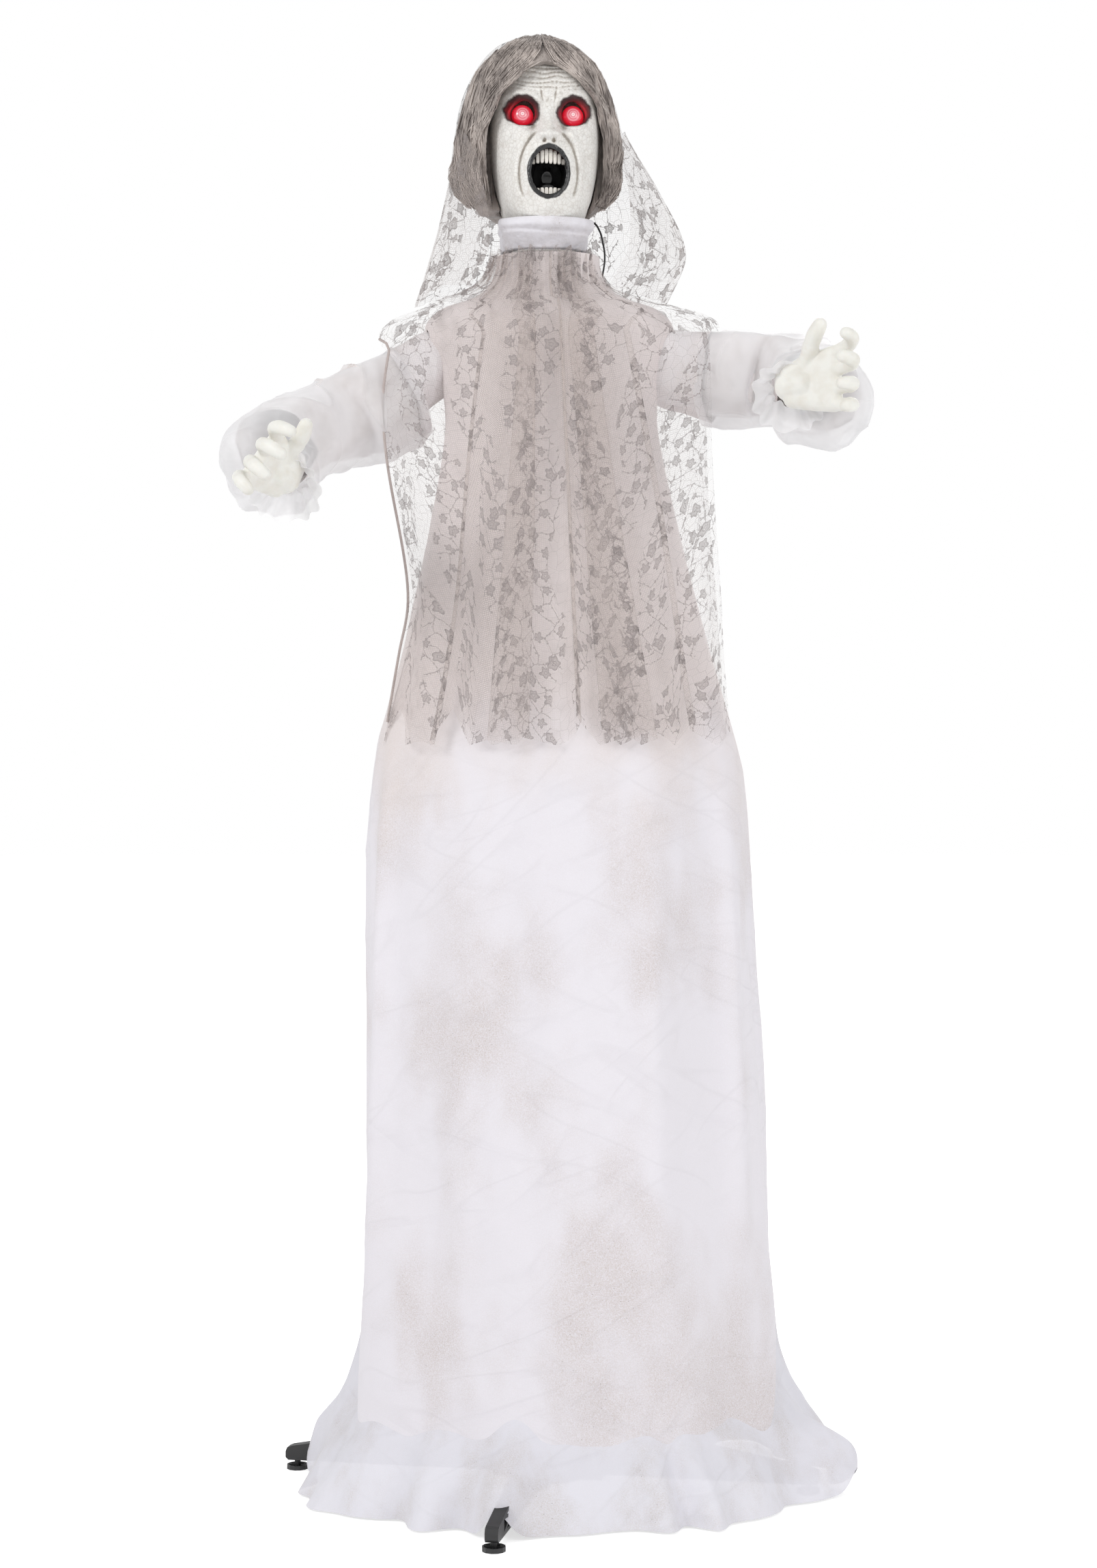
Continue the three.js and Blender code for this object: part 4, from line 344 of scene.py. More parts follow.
# Raschel lace: garlands of flowers and thin vines worked on a beige net
def floralLace(name, thread, ground, net, flower, weight, seed=0.0):
    finish, add, shader, _ = newFinish(name, {"Roughness": 0.85, "IOR": 1.46})
    place = add("UVMap", uv_map="pattern")
    wobbleNoise = add("TexNoise", {"Vector": place, "Scale": perMillimetre(30), "Detail": 1}, noise_dimensions="2D")
    wobble = add("VectorMath", {0: wobbleNoise.outputs["Color"], 3: 0.012}, operation="SCALE")
    bent = add("VectorMath", {0: place, 1: wobble}, operation="ADD")
    cells = add("Mapping", {"Vector": bent, "Location": (seed, seed, 0),
        "Scale": (perMillimetre(flower), perMillimetre(flower * 1.12), 1)})
    bloom = add("TexVoronoi", {"Vector": cells, "Scale": 1, "Randomness": 0.75}, voronoi_dimensions="2D")
    pick = add("SeparateXYZ", {0: bloom.outputs["Color"]})
    size = add("MapRange", {0: pick.outputs[0], 3: 0.2, 4: 0.3, "Steps": 2}, interpolation_type="STEPPED")
    fromCentre = add("VectorMath", {0: cells, 1: bloom.outputs["Position"]}, operation="SUBTRACT")
    split = add("SeparateXYZ", {0: fromCentre})
    turn = add("Math", {0: split.outputs[1], 1: split.outputs[0]}, operation="ARCTAN2")
    turns = add("Math", {0: turn, 1: 5, 2: pick.outputs[1]}, operation="MULTIPLY_ADD")
    petals = add("Math", {0: turns}, operation="COSINE")
    edge = add("Math", {0: petals, 1: 0.055, 2: size}, operation="MULTIPLY_ADD")
    away = add("Math", {0: bloom.outputs["Distance"], 1: edge}, operation="DIVIDE")
    petal = add("ValToRGB", {0: away}, stops=[(0.0, 0.85), (0.16, 0.25), (0.26, 0.95), (0.36, 0.5), (0.6, 0.62),
        (0.82, 0.7), (0.9, 1.0), (1.0, 0.0)])
    vineEdge = add("TexVoronoi", {"Vector": cells, "Scale": 1.15, "Randomness": 1}, voronoi_dimensions="2D",
        feature="DISTANCE_TO_EDGE")
    vine = add("MapRange", {0: vineEdge, 1: 0.010, 2: 0.024, 3: 0.8, 4: 0})
    near = add("Math", {0: vineEdge, 1: 0.07}, operation="LESS_THAN")
    buds = add("TexVoronoi", {"Vector": cells, "Scale": 4.6}, voronoi_dimensions="2D")
    bud = add("MapRange", {0: buds.outputs["Distance"], 1: 0.2, 2: 0.27, 3: 0.7, 4: 0})
    leaf = add("Math", {0: bud, 1: near}, operation="MULTIPLY")
    sprig = add("Math", {0: vine, 1: leaf}, operation="MAXIMUM")
    worked = add("Math", {0: petal, 1: sprig}, operation="MAXIMUM")
    # garlands hang in wandering columns 78 mm apart, and only faint scrolls are worked between them
    column = add("SeparateXYZ", {0: bent})
    sway = add("Math", {0: column.outputs[1], 1: 34}, operation="MULTIPLY")
    sway = add("Math", {0: sway}, operation="SINE")
    phase = add("Math", {0: column.outputs[0], 1: 2000 * math.pi / 78, 2: sway}, operation="MULTIPLY_ADD")
    garland = add("Math", {0: phase}, operation="COSINE")
    garland = add("MapRange", {0: garland, 1: -0.4, 2: -0.2})
    garlandThread = add("Math", {0: worked, 1: garland}, operation="MULTIPLY")
    scrollEdge = add("TexVoronoi", {"Vector": cells, "Scale": 1.9, "Randomness": 0.8}, voronoi_dimensions="2D",
        feature="DISTANCE_TO_EDGE")
    scroll = add("MapRange", {0: scrollEdge, 1: 0.02, 2: 0.05, 3: 0.34, 4: 0})
    figureThread = add("Math", {0: garlandThread, 1: scroll}, operation="MAXIMUM")
    # net drawn at 2.6 mm to show
    netCells = add("TexVoronoi", {"Vector": place, "Scale": perMillimetre(2.6), "Randomness": 0.25},
        voronoi_dimensions="2D", feature="DISTANCE_TO_EDGE")
    netThread = add("MapRange", {0: netCells, 1: 0.05, 2: 0.2, 3: 1.9 * net, 4: 0.65 * net})
    gather = add("Attribute", attribute_name="gather")
    netThread = add("Math", {0: netThread, 1: gather.outputs["Fac"]}, operation="MULTIPLY")
    netThread = add("Math", {0: netThread, 1: 0.75}, operation="MINIMUM")
    solid = add("Math", {0: figureThread, 1: weight}, operation="MULTIPLY")
    alpha = add("Math", {0: solid, 1: netThread}, operation="MAXIMUM")
    color = add("MixRGB", {0: figureThread, 1: ground, 2: thread})
    bump = add("Bump", {"Strength": 0.4, "Distance": 0.0005, "Height": figureThread})
    plug(shader, {"Base Color": color, "Alpha": alpha, "Normal": bump})
    return finish


# Sheer organza: a thin white veil, denser where it turns away from the eye, softly puckered
def sheerOrganza(name, color, alpha):
    finish, add, shader, place = newFinish(name, {"Base Color": color, "Roughness": 0.55, "Sheen Weight": 0.4})
    facing = add("LayerWeight", {"Blend": 0.35})
    cloud = add("TexNoise", {"Vector": place, "Scale": perMillimetre(60)})
    body = add("MapRange", {0: cloud, 1: 0.3, 2: 0.7, 3: alpha * 0.8, 4: alpha * 1.25})
    folded = add("Math", {0: facing.outputs["Facing"], 1: 0.5, 2: body}, operation="MULTIPLY_ADD", use_clamp=True)
    threads = add("TexNoise", {"Vector": place, "Scale": perMillimetre(28), "Detail": 3})
    bump = add("Bump", {"Strength": 0.3, "Distance": 0.002, "Height": threads})
    plug(shader, {"Alpha": folded, "Normal": bump})
    return finish


print("shared materials")

blackAbs = mouldedAbs("blackAbs", "#1b1b1c")
tubeSteel = drawnSteel("tubeSteel", "#a5a7a9")
naturalAcetal = mouldedAbs("naturalAcetal", "#e8e6dc", grain=2, roughness=0.4)
gownCloth = sprayedSpunbond("gownSpunbond", "#efecf2", "#c9bcb6", amount=0.85, patch=170,
                            under={"from": 0.80, "to": 1.04, "cover": 0.75, "color": "#e9dfdc"})
skirtCloth = sprayedSpunbond("skirtSpunbond", "#ecebf3", "#cdc4bf", amount=0.75, patch=70, alpha=0.93, seed=3.1)
laceThread = floralLace("ponchoLace", "#6f6869", "#cbbfba", net=0.12, flower=23, weight=0.84)

# Legs, hub, pole and the drive keep their CAD shapes
cadFinishes = {
    blackAbs: ["base_hub", "leg_front", "leg_rear", "leg_left", "leg_right", "foot_front", "foot_rear", "foot_left",
               "foot_right", "chest_front_cover", "chest_rear_cover", "battery_door", "speaker", "power_switch",
               "shoulder_fork_left", "shoulder_fork_right", "upper_arm_left", "upper_arm_right", "forearm_left",
               "forearm_right"],
    tubeSteel: ["lower_pole", "middle_pole", "upper_pole", "snap_button_lower", "snap_button_upper", "drive_plate",
                "drive_motor", "neck_shaft", "shoulder_bar", "shoulder_pin_left", "shoulder_pin_right",
                "elbow_pin_left", "elbow_pin_right"],
    naturalAcetal: ["neck_gear", "motor_pinion"],
    mouldedAbs("solderMask", "#2f6b3a", grain=6, roughness=0.3): ["circuit_board"],
    mouldedAbs("cellJacket", "#44474b", grain=3, roughness=0.3): ["battery_cell_1", "battery_cell_2",
                                                                  "battery_cell_3"],
    mouldedAbs("clearLamp", "#f4d8d8", grain=3, roughness=0.2): ["eye_lamp_left", "eye_lamp_right"],
}
for finish, nodes in cadFinishes.items():
    for node in nodes:
        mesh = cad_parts[node].data
        mesh.materials.clear()
        mesh.materials.append(finish)

# Gown
gown = {
    "hem": 0.087, "top": 1.497, "halfWidth": 0.268, "halfDepth": 0.215, "lean": 0.022, "fold": 0.009,
    "sideHem": 0.250, "panelEdge": -0.090, "collarTop": 1.549, "cut": (1.55, 1.44), "cutArea": 1.50,
    "armhole": {"inside": 0.126, "middle": 0.014, "half": 0.034, "bottom": 1.392, "top": 1.455},
    # height share, width share, depth share
    "rows": [(0, 1, 1), (0.13, 0.96, 0.92), (0.34, 0.915, 0.78), (0.57, 0.87, 0.65), (0.7, 0.695, 0.55),
             (0.877, 0.505, 0.42), (0.938, 0.525, 0.35), (0.973, 0.587, 0.28), (0.99, 0.515, 0.26), (1, 0.36, 0.25),
             (1.012, 0.28, 0.25), (1.026, 0.245, 0.24)],
}


def gownPoint(angle, at, inset=0.0):
    width, depth = readRows(gown["rows"], at)
    foldShare = max(0, min(1, 1.15 * (1 - at)))
    fold = gown["fold"] * foldShare * (0.6 * math.cos(5 * angle + 0.7) + 0.4 * math.cos(8 * angle + 2)) - inset
    power = 2 / 2.3
    return Vector((
        gown["lean"] * (1 - at) + (width * gown["halfWidth"] + fold) * signedPower(math.cos(angle), power),
        (depth * gown["halfDepth"] + fold) * signedPower(math.sin(angle), power),
        mix(gown["hem"], gown["top"], at),
    ))


def packingCreases(point):  # how far the cloth stands out where it was folded in its bag
    x, z = point.x + 0.4 * point.y, point.z
    slanted = crease(6 * (x + 0.7 * z), 1.6 * (z - 0.7 * x), 3.0) * 0.0016
    other = crease(7 * (x - 0.5 * z), 1.9 * (z + 0.5 * x), 8.0) * 0.0013
    fine = crease(22 * (x + 0.4 * z), 6 * z, 5.0) * 0.0006
    soft = ripple(9 * x, 3.2 * z, 1.0) * 0.004
    return slanted + other + fine + soft


def gownPlace(u, v):
    angle = math.pi / 2 + 2 * math.pi * u
    full = gownPoint(angle, 0.03)
    hem = mix(gown["sideHem"], gown["hem"], smooth(gown["panelEdge"] + 0.05, gown["panelEdge"] - 0.01, full.y))
    at = (mix(hem, gown["collarTop"], v) - gown["hem"]) / (gown["top"] - gown["hem"])
    point = gownPoint(angle, at)
    out = Vector((math.cos(angle), math.sin(angle), 0))
    calm = max(0, min(1, 3 * (1 - at))) * min(1, 0.35 + at * 4)
    hang = ripple(2.6 * math.cos(angle) + 3, 2.6 * math.sin(angle), 0.9 * at)  # soft folds that run down it
    deep = 0.008 * calm * math.sin(9 * angle + 4 * hang) * smooth(0.66, 0.4, at) * smooth(0, 0.3, at)
    return point + out * (packingCreases(point) * calm + deep)


form = clothForm(420, 300, gownPlace, gown["cut"], closed=True)
hole = gown["armhole"]
armholes = [face for face in form.faces for centre in [face.calc_center_median()]
            if abs(centre.x) > hole["inside"] and abs(centre.y - hole["middle"]) < hole["half"]
            and hole["bottom"] < centre.z < hole["top"]]
bmesh.ops.delete(form, geom=armholes, context="FACES")
gownPiece = linkMesh(form, "gown_panel", gownCloth)
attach(gownPiece, "stand")
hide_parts("gown")
print("gown")

# Underskirt: hangs inside the gown and spreads on the floor
skirt = {
    "bottom": 0.0026, "flareTop": 0.300, "flareX": 0.066, "flareY": 0.050, "inset": 0.006, "fold": 0.011,
    "topShare": 0.57, "cut": (1.62, 0.92), "legLift": 0.030, "legSpread": 0.05, "tentSpread": 0.085,
    "tentShares": {"front": 0.9, "rear": 0.9, "left": 1.0, "right": 0.25},
    # height share below the flare's top, flare at the front, at the sides and back, tent over a leg
    "flare": [(0, 1, 1.02, 0.6), (0.08, 0.82, 0.9, 0.7), (0.2, 0.5, 0.7, 0.85), (0.34, 0.12, 0.42, 0.2),
              (0.6, 0, 0.16, 0), (0.84, 0, 0.11, 0), (1, 0, 0, 0)],
}


def skirtPlace(u, v):
    angle = math.pi / 2 + 2 * math.pi * u
    out = Vector((math.cos(angle), math.sin(angle), 0))
    legAngle = angle + math.radians(figure["legTurn"])
    across, ahead = math.cos(legAngle), math.sin(legAngle)
    offLeg = min(abs(across), abs(ahead))
    overLeg = hump(offLeg, skirt["tentSpread"])
    lift = skirt["legLift"] * hump(offLeg, skirt["legSpread"])  # the hem clears the legs
    z = mix(skirt["bottom"] + lift, mix(gown["hem"], gown["top"], skirt["topShare"]), v ** 1.25)
    at = max(0, (z - gown["hem"]) / (gown["top"] - gown["hem"]))
    point = gownPoint(angle, at, skirt["inset"] + 0.006 * v)
    below = min(max((z - skirt["bottom"]) / (skirt["flareTop"] - skirt["bottom"]), 0), 1)
    front, sides, tent = readRows(skirt["flare"], below)
    share = mix(front, sides, smooth(-0.25, 0, math.sin(angle)))
    if abs(across) > abs(ahead):
        tent *= skirt["tentShares"]["left" if across > 0 else "right"]
    else:
        tent *= skirt["tentShares"]["rear" if ahead > 0 else "front"]
    free = share * (1 - overLeg)
    wide, close = out * 2, out * 6
    waved = free * (1 + (skirt["fold"] / skirt["flareX"]) * math.cos(9 * angle)) + overLeg * (share + tent)
    waved += share * (0.3 * ripple(wide.x, wide.y, 7 * z) + 0.1 * ripple(close.x, close.y, 16 * z))
    point.x += waved * skirt["flareX"] * math.cos(angle)
    point.y += waved * skirt["flareY"] * math.sin(angle)
    point.z = z
    hang = ripple(wide.x, wide.y, 3 * z)
    soft = 0.003 * ripple(wide.x, wide.y, 12 * z) + 0.0012 * crease(close.x, close.y, 14 * z) * share
    soft += 0.013 * free * math.sin(12 * angle + 5 * hang) * smooth(0.30, 0.08, z)
    soft += 0.006 * free * crease(wide.x, wide.y, 9 * z + 6) * smooth(0.30, 0.12, z)
    return point + out * soft


skirtPiece = linkMesh(clothForm(420, 170, skirtPlace, skirt["cut"], closed=True), "skirt_lining", skirtCloth)
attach(skirtPiece, "stand")
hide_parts("underskirt")
print("underskirt")

# Lace poncho: a front and a back sheet, sewn over the shoulders, laid in pleats that fall from the neck
poncho = {
    "hem": 0.930, "top": 1.548, "halfWidth": 0.225, "halfDepth": 0.152, "lean": 0.014, "sag": 0.014, "slotTop": 1.457,
    "edgeDepth": 0.060, "cut": (0.82, 0.66), "points": 9, "pointHeight": 0.046,
    "shoulder": 0.854, "sagEnd": 0.91,
    "rows": [(0, 1, 1), (0.3, 0.98, 0.9), (0.6, 0.975, 0.78), (0.854, 0.98, 0.64), (0.874, 0.9, 0.58),
             (0.89, 0.73, 0.51), (0.91, 0.57, 0.46), (0.942, 0.375, 0.42), (1, 0.28, 0.395)],
    # cloth share across, place share across, how deep the layer lies
    "pleats": [(0, 0, 0), (0.16, 0.20, 0), (0.175, 0.185, 1), (0.19, 0.205, 2), (0.30, 0.33, 2), (0.36, 0.43, 0),
               (0.42, 0.33, 1), (0.48, 0.43, 2), (0.53, 0.535, 2), (0.545, 0.55, 0), (0.56, 0.535, 1), (0.60, 0.60, 2),
               (0.66, 0.725, 0), (0.74, 0.60, 1), (0.82, 0.725, 2), (0.89, 0.825, 2), (0.90, 0.84, 0),
               (0.91, 0.825, 1), (1, 1, 1)],
    "fan": 0.5,  # how near the middle the pleats lie at the shoulders, of their place at the hem
    # height, and how far out the sheet's own edges hang
    "edges": [(0.930, -0.205, 0.238), (1.050, -0.186, 0.231), (1.110, -0.176, 0.228), (1.170, -0.182, 0.223),
              (1.300, -0.211, 0.216), (1.380, -0.221, 0.216), (1.457, -0.214, 0.214)],
}
ponchoRings = {}


def ponchoPower(at):  # how square the ring is: nearly a box below the shoulders, round above
    return 2 / mix(3, 2.2, smooth(0.83, 0.88, at))


def ringAngle(at, low, high, share):  # the angle at a share of the way round the front, measured along the cloth
    key = round(at, 5)
    if key not in ponchoRings:
        width, depth = readRows(poncho["rows"], at)
        power = ponchoPower(at)
        angles = [mix(low, high, 0.5 - 0.5 * math.cos(math.pi * k / 96)) for k in range(97)]
        spots = [Vector((width * poncho["halfWidth"] * signedPower(math.cos(a), power),
                         depth * poncho["halfDepth"] * signedPower(math.sin(a), power))) for a in angles]
        walked = [0]
        for a, b in zip(spots, spots[1:]):
            walked.append(walked[-1] + (b - a).length)
        ponchoRings[key] = (angles, [w / walked[-1] for w in walked])
    angles, walked = ponchoRings[key]
    k = min(max(bisect.bisect_right(walked, share) - 1, 0), 95)
    span = walked[k + 1] - walked[k]
    return mix(angles[k], angles[k + 1], min(max((share - walked[k]) / span, 0), 1) if span else 0)


def ponchoSide(u, at, facing):
    pleat = u if facing < 0 else 1 - u
    i = max(k for k in range(len(poncho["pleats"]) - 1) if poncho["pleats"][k][0] <= pleat)
    a, b = poncho["pleats"][i], poncho["pleats"][i + 1]
    t = (pleat - a[0]) / (b[0] - a[0])
    across, layer = mix(a[1], b[1], t), mix(a[2], b[2], smooth(0, 1, t))
    if facing > 0:
        across = 1 - across
    jag = poncho["points"] * pleat * 1.3
    point = abs(jag - math.floor(jag) - 0.5) * 2
    ragged = poncho["pointHeight"] * (1 - point) * (0.55 + 0.45 * math.cos(3 * math.floor(jag)))
    shoulder = poncho["shoulder"]
    z = mix(poncho["hem"] + ragged, poncho["top"], at)
    width, depth = readRows(poncho["rows"], at)
    power = ponchoPower(at)
    halfWidth, halfDepth = width * poncho["halfWidth"], depth * poncho["halfDepth"]
    # how far round the side the sheet reaches: all the way over the shoulder, less beside the slot
    free = smooth(poncho["slotTop"] + 0.012, poncho["slotTop"] - 0.020, mix(poncho["hem"], poncho["top"], at))
    edgeAngle = math.asin(min(poncho["edgeDepth"] / halfDepth, 0.99) ** (1 / power)) * free
    # the pleats fan out from the neck
    place = 2 * across - 1
    drawn = at / shoulder if at < shoulder else (1 - at) / (1 - shoulder)
    place *= 1 - (1 - poncho["fan"]) * (1 - abs(place) ** 3) * drawn
    angle = ringAngle(at, -math.pi + edgeAngle, -edgeAngle, (place + 1) / 2)
    ripples = 0.006 * min(1, 1.1 - at) * math.cos(11 * angle + 0.4) + 0.0035 * ripple(22 * across, 3 * at, facing)
    ripples += 0.0035 * smooth(0.78, 1, at) * math.cos(150 * across + 2 * ripple(9 * across, 4 * at))
    ripples -= 0.0013 * layer
    sagShare = at / shoulder if at < shoulder else max(poncho["sagEnd"] - at, 0) / (poncho["sagEnd"] - shoulder)
    sag = poncho["sag"] * sagShare * min(math.cos(angle), 0) ** 2
    middle = poncho["lean"] * (1 - at) if at < 0.9 else figure["neckX"]
    x = middle + (halfWidth + ripples) * signedPower(math.cos(angle), power)
    left, right = readRows(poncho["edges"], min(max(z, poncho["edges"][0][0]), poncho["edges"][-1][0]))
    outer = abs(x - middle) / halfWidth
    ease = (left - (middle - halfWidth)) if x < middle else (right - (middle + halfWidth))
    x += ease * outer ** 4 * smooth(1.50, 1.44, z)
    y = -facing * (halfDepth + ripples) * signedPower(math.sin(angle), power)
    ruffle = 0.004 * smooth(0.97, 1, at) * (1 + math.cos(75 * across))
    return Vector((x, y, z - sag + ruffle))


for name, facing in (("front", -1), ("back", 1)):
    sheet = clothForm(420, 210, lambda u, v: ponchoSide(u, v, facing), poncho["cut"])
    storeGather(sheet)
    layPattern(sheet)
    piece = linkMesh(sheet, "poncho_" + name, laceThread)
    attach(piece, "stand")
    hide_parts("lace_poncho")


# Rolled polyester binding down the sheet's free edge
bindingCurve = newCurve("poncho_binding", 0.0017, sides=2)
bindingCurve.use_fill_caps = True
edgePoints = [ponchoSide(0, k / 60, -1) for k in range(3, 52)]
spline = bindingCurve.splines.new("POLY")
spline.points.add(len(edgePoints) - 1)
for knot, point in zip(spline.points, edgePoints):
    knot.co = (*point, 1)
binding = linkCurve(bindingCurve, "poncho_binding",
                    sprayedSpunbond("laceBinding", "#c2b6b2", "#a2948f", amount=0.8, patch=20))
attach(binding, "stand")
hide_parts("lace_poncho")
print("poncho")

# Sleeves: an outer sheer layer with a ballooned cuff and an inner sprayed layer
sleeves = {
    "half": 0.050, "fold": 0.0025, "top": 0.0175, "square": 0.85, "wristTop": 0.0184, "cut": (0.36, 0.36),
    "headCut": (0.34, 0.09), "liningCut": (0.34, 0.21), "pivot": (0.150, 0.014, 1.445), "upper": 0.165, "fore": 0.222,
    "headEnd": 0.4, "armStart": 0.34, "liningEnd": 1.6, "gathered": 1.9,
    # along (0 to 1 on the upper arm, 1 to 2 on the forearm), tall, wide, puff
    "stations": [(-0.16, 1.0, 0.86, 0), (0.13, 1.12, 0.96, 0), (0.34, 1.2, 0.99, 0), (0.4, 1.22, 1, 0),
                 (0.74, 1.22, 1.04, 0), (1, 1.18, 1.2, 0.12), (1.27, 1.18, 1.1, 0.6), (1.5, 1.1, 1.1, 1),
                 (1.76, 1, 1, 0.92), (1.92, 0.46, 0.5, 0)],
    "frill": [(1.97, 0.62, 0.66, 0), (2.05, 0.86, 0.9, 0)],
}
arms = {
    "left": {"side": 1, "upper": (0.942, -0.324, -0.087), "fore": (-0.095, -0.931, -0.354), "lean": 0.034,
             "tall": 0.057, "wide": 0.058, "top": 0.027},
    "right": {"side": -1, "upper": (-0.835, -0.288, -0.47), "fore": (-0.117, -0.829, -0.547), "lean": 0.032,
              "tall": 0.060, "wide": 0.056, "top": 0.040},
}


def sleeveFrame(arm):
    side, level, height = sleeves["pivot"]
    upper = Vector(arm["upper"]).normalized() * sleeves["upper"]
    fore = Vector(arm["fore"]).normalized() * sleeves["fore"]
    return Vector((arm["side"] * side, level, height)), upper, fore


def sleeveRing(arm, station, angle, shrink=1.0):
    along, tall, wide, puff = station
    pivot, upper, fore = sleeveFrame(arm)
    centre = pivot + upper * min(along, 1) + fore * max(along - 1, 0)
    centre.x += arm["side"] * arm["lean"] * puff
    aim = (upper if along < 1 else fore).copy()
    if along == 1:
        aim = upper.normalized() + fore.normalized()
    if along < 0.2:
        aim.z = 0
    aim.normalize()
    across = Vector((0, 0, 1)).cross(aim).normalized()
    rise = aim.cross(across)
    gathered = along > sleeves["gathered"]
    tallSize = mix(sleeves["half"] * tall, arm["tall"], puff) * shrink
    wideSize = mix(sleeves["half"] * wide, arm["wide"], puff) * shrink
    top = mix(sleeves["wristTop"] if gathered else sleeves["top"], arm["top"], puff) * (0.9 if shrink < 0.9 else 1)
    if along > 1.93:
        top = tallSize - 0.010
    fold = 0 if gathered else sleeves["fold"] * math.cos(5 * angle + 6 * tall)
    square = sleeves["square"]  # under 1 the ring is a little boxy
    return (centre + across * (wideSize + fold) * signedPower(math.cos(angle), square)
            + rise * ((tallSize + fold) * signedPower(math.sin(angle), square) - tallSize + top))


def sleeveForm(arm, stations, cut, shrink=1.0, columns=120, rows=150, rough=0.004):
    begin, finish = stations[0][0], stations[-1][0]
    tracks = []
    for j in range(columns + 1):
        angle = 2 * math.pi * j / columns
        tracks.append([(station[0], sleeveRing(arm, station, angle, shrink)) for station in stations])
    pivot, upper, fore = sleeveFrame(arm)

    def place(u, v):
        j = min(round(u * columns), columns)
        along = mix(begin, finish, v)
        point = readRows(tracks[j], along)[0]
        centre = pivot + upper * min(along, 1) + fore * max(along - 1, 0)
        out = (point - centre).normalized()
        calm = smooth(begin, begin + 0.15, along) * smooth(1.97, 1.85, along)
        q = point * 22
        puckers = 0.6 * crease(q.x * 0.8, q.y * 0.8, q.z * 0.6) + 1.3 * ripple(q.x * 0.5, q.y * 0.5, q.z * 0.5)
        gather = 0.0030 * math.cos(22 * math.pi * u + 2 * ripple(7 * u, along)) * smooth(1.6, 1.95, along)
        return point + out * (rough * calm * puckers + gather - 0.002)

    return clothForm(columns, rows, place, cut, closed=True, upright=False)


innerSleeve = sprayedSpunbond("sleeveLining", "#f8f4f4", "#b9a79d", amount=1.0, patch=48, seed=1.7)
headSleeve = sprayedSpunbond("sleeveHead", "#f3f0f2", "#d2c6c0", amount=0.6, patch=60, seed=2.3)
outerSleeve = sheerOrganza("sleeveOrganza", "#fbfafc", alpha=0.40)
for name, arm in arms.items():
    pivot, upper, fore = sleeveFrame(arm)
    shoulderStations = [s for s in sleeves["stations"] if s[0] <= sleeves["headEnd"]]
    armStations = [s for s in sleeves["stations"] if s[0] >= sleeves["armStart"]]
    shoulderEnd = sleeveForm(arm, shoulderStations, sleeves["headCut"], shrink=0.95, rows=44)
    shoulderPiece = linkMesh(shoulderEnd, "sleeve_head_" + name, headSleeve)
    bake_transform(shoulderPiece)
    lining = [s for s in armStations if s[0] <= sleeves["liningEnd"]]
    liningPiece = linkMesh(sleeveForm(arm, lining, sleeves["liningCut"], shrink=0.86, rows=110, rough=0.010),
                           "sleeve_lining_" + name, innerSleeve)
    outerPiece = linkMesh(sleeveForm(arm, armStations + sleeves["frill"], sleeves["cut"], rough=0.007),
                          "sleeve_outer_" + name, outerSleeve)
    for piece in (liningPiece, outerPiece):
        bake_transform(piece)
    for piece, cut in ((shoulderPiece, sleeves["headCut"]), (liningPiece, sleeves["liningCut"]),
                       (outerPiece, sleeves["cut"])):
        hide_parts("sleeve_" + name)
print("sleeves")


# Hands: rotation-moulded vinyl, ivory and a little waxy, clouded here and there, with a fine skin grain
def handVinyl():
    finish, add, shader, place = newFinish("handVinyl", {"IOR": 1.5, "Subsurface Weight": 0.12,
        "Subsurface Scale": 0.004, "Subsurface Radius": (1, 0.8, 0.6)})
    stain = add("TexNoise", {"Vector": place, "Scale": perMillimetre(18), "Detail": 4})
    share = add("MapRange", {0: stain, 1: 0.45, 2: 0.75, 4: 0.5})
    color = add("MixRGB", {0: share, 1: "#f1f0ea", 2: "#ded8cc"})
    skin = add("TexVoronoi", {"Vector": place, "Scale": perMillimetre(2.2)})
    bump = add("Bump", {"Strength": 0.2, "Distance": 0.0003, "Height": skin})
    gloss = add("MapRange", {0: stain, 3: 0.42, 4: 0.6})
    plug(shader, {"Base Color": color, "Roughness": gloss, "Normal": bump})
    return finish


handFinish = handVinyl()
hands = {
    "palmLength": 0.072, "palmWidth": 0.080, "palmThick": 0.0125, "finger": 0.074, "radius": 0.0086, "thumb": 0.058,
    "spread": 0.5, "wrist": 0.0185, "wristIn": 0.040, "step": 0.0022, "voxel": 0.0011,
    # place across the palm, length share, curl in degrees
    "fingers": [(0.38, 0.95, 104), (0.13, 1.06, 118), (-0.13, 1, 122), (-0.37, 0.84, 112)],
    "bends": [0.16, 0.42, 0.72, 1], "legs": [0.34, 0.26, 0.22, 0.18],
    "thickness": [(0, 1.05), (0.3, 0.98), (0.42, 1.08), (0.55, 0.97), (0.66, 1.03), (0.85, 0.98), (1, 0.86)],
    "left": {"aim": (0.82, -0.57, 0.06), "thumb": (0, 0, 1)},
    "right": {"aim": (-0.37, -0.87, 0.3), "thumb": (0.6, 0, 0.8)},
}


def swell(form, points, radius, thickness):  # a string of balls close enough to melt into one limb
    lengths = [(b - a).length for a, b in zip(points, points[1:])]
    total, walked = sum(lengths), 0
    for a, b, length in zip(points, points[1:], lengths):
        steps = max(1, round(length / hands["step"]))
        for k in range(steps):
            share = (walked + length * k / steps) / total
            size = radius * readRows(thickness, share)[0]
            at = Matrix.Translation(a.lerp(b, k / steps))
            bmesh.ops.create_icosphere(form, subdivisions=2, radius=size, matrix=at)
        walked += length


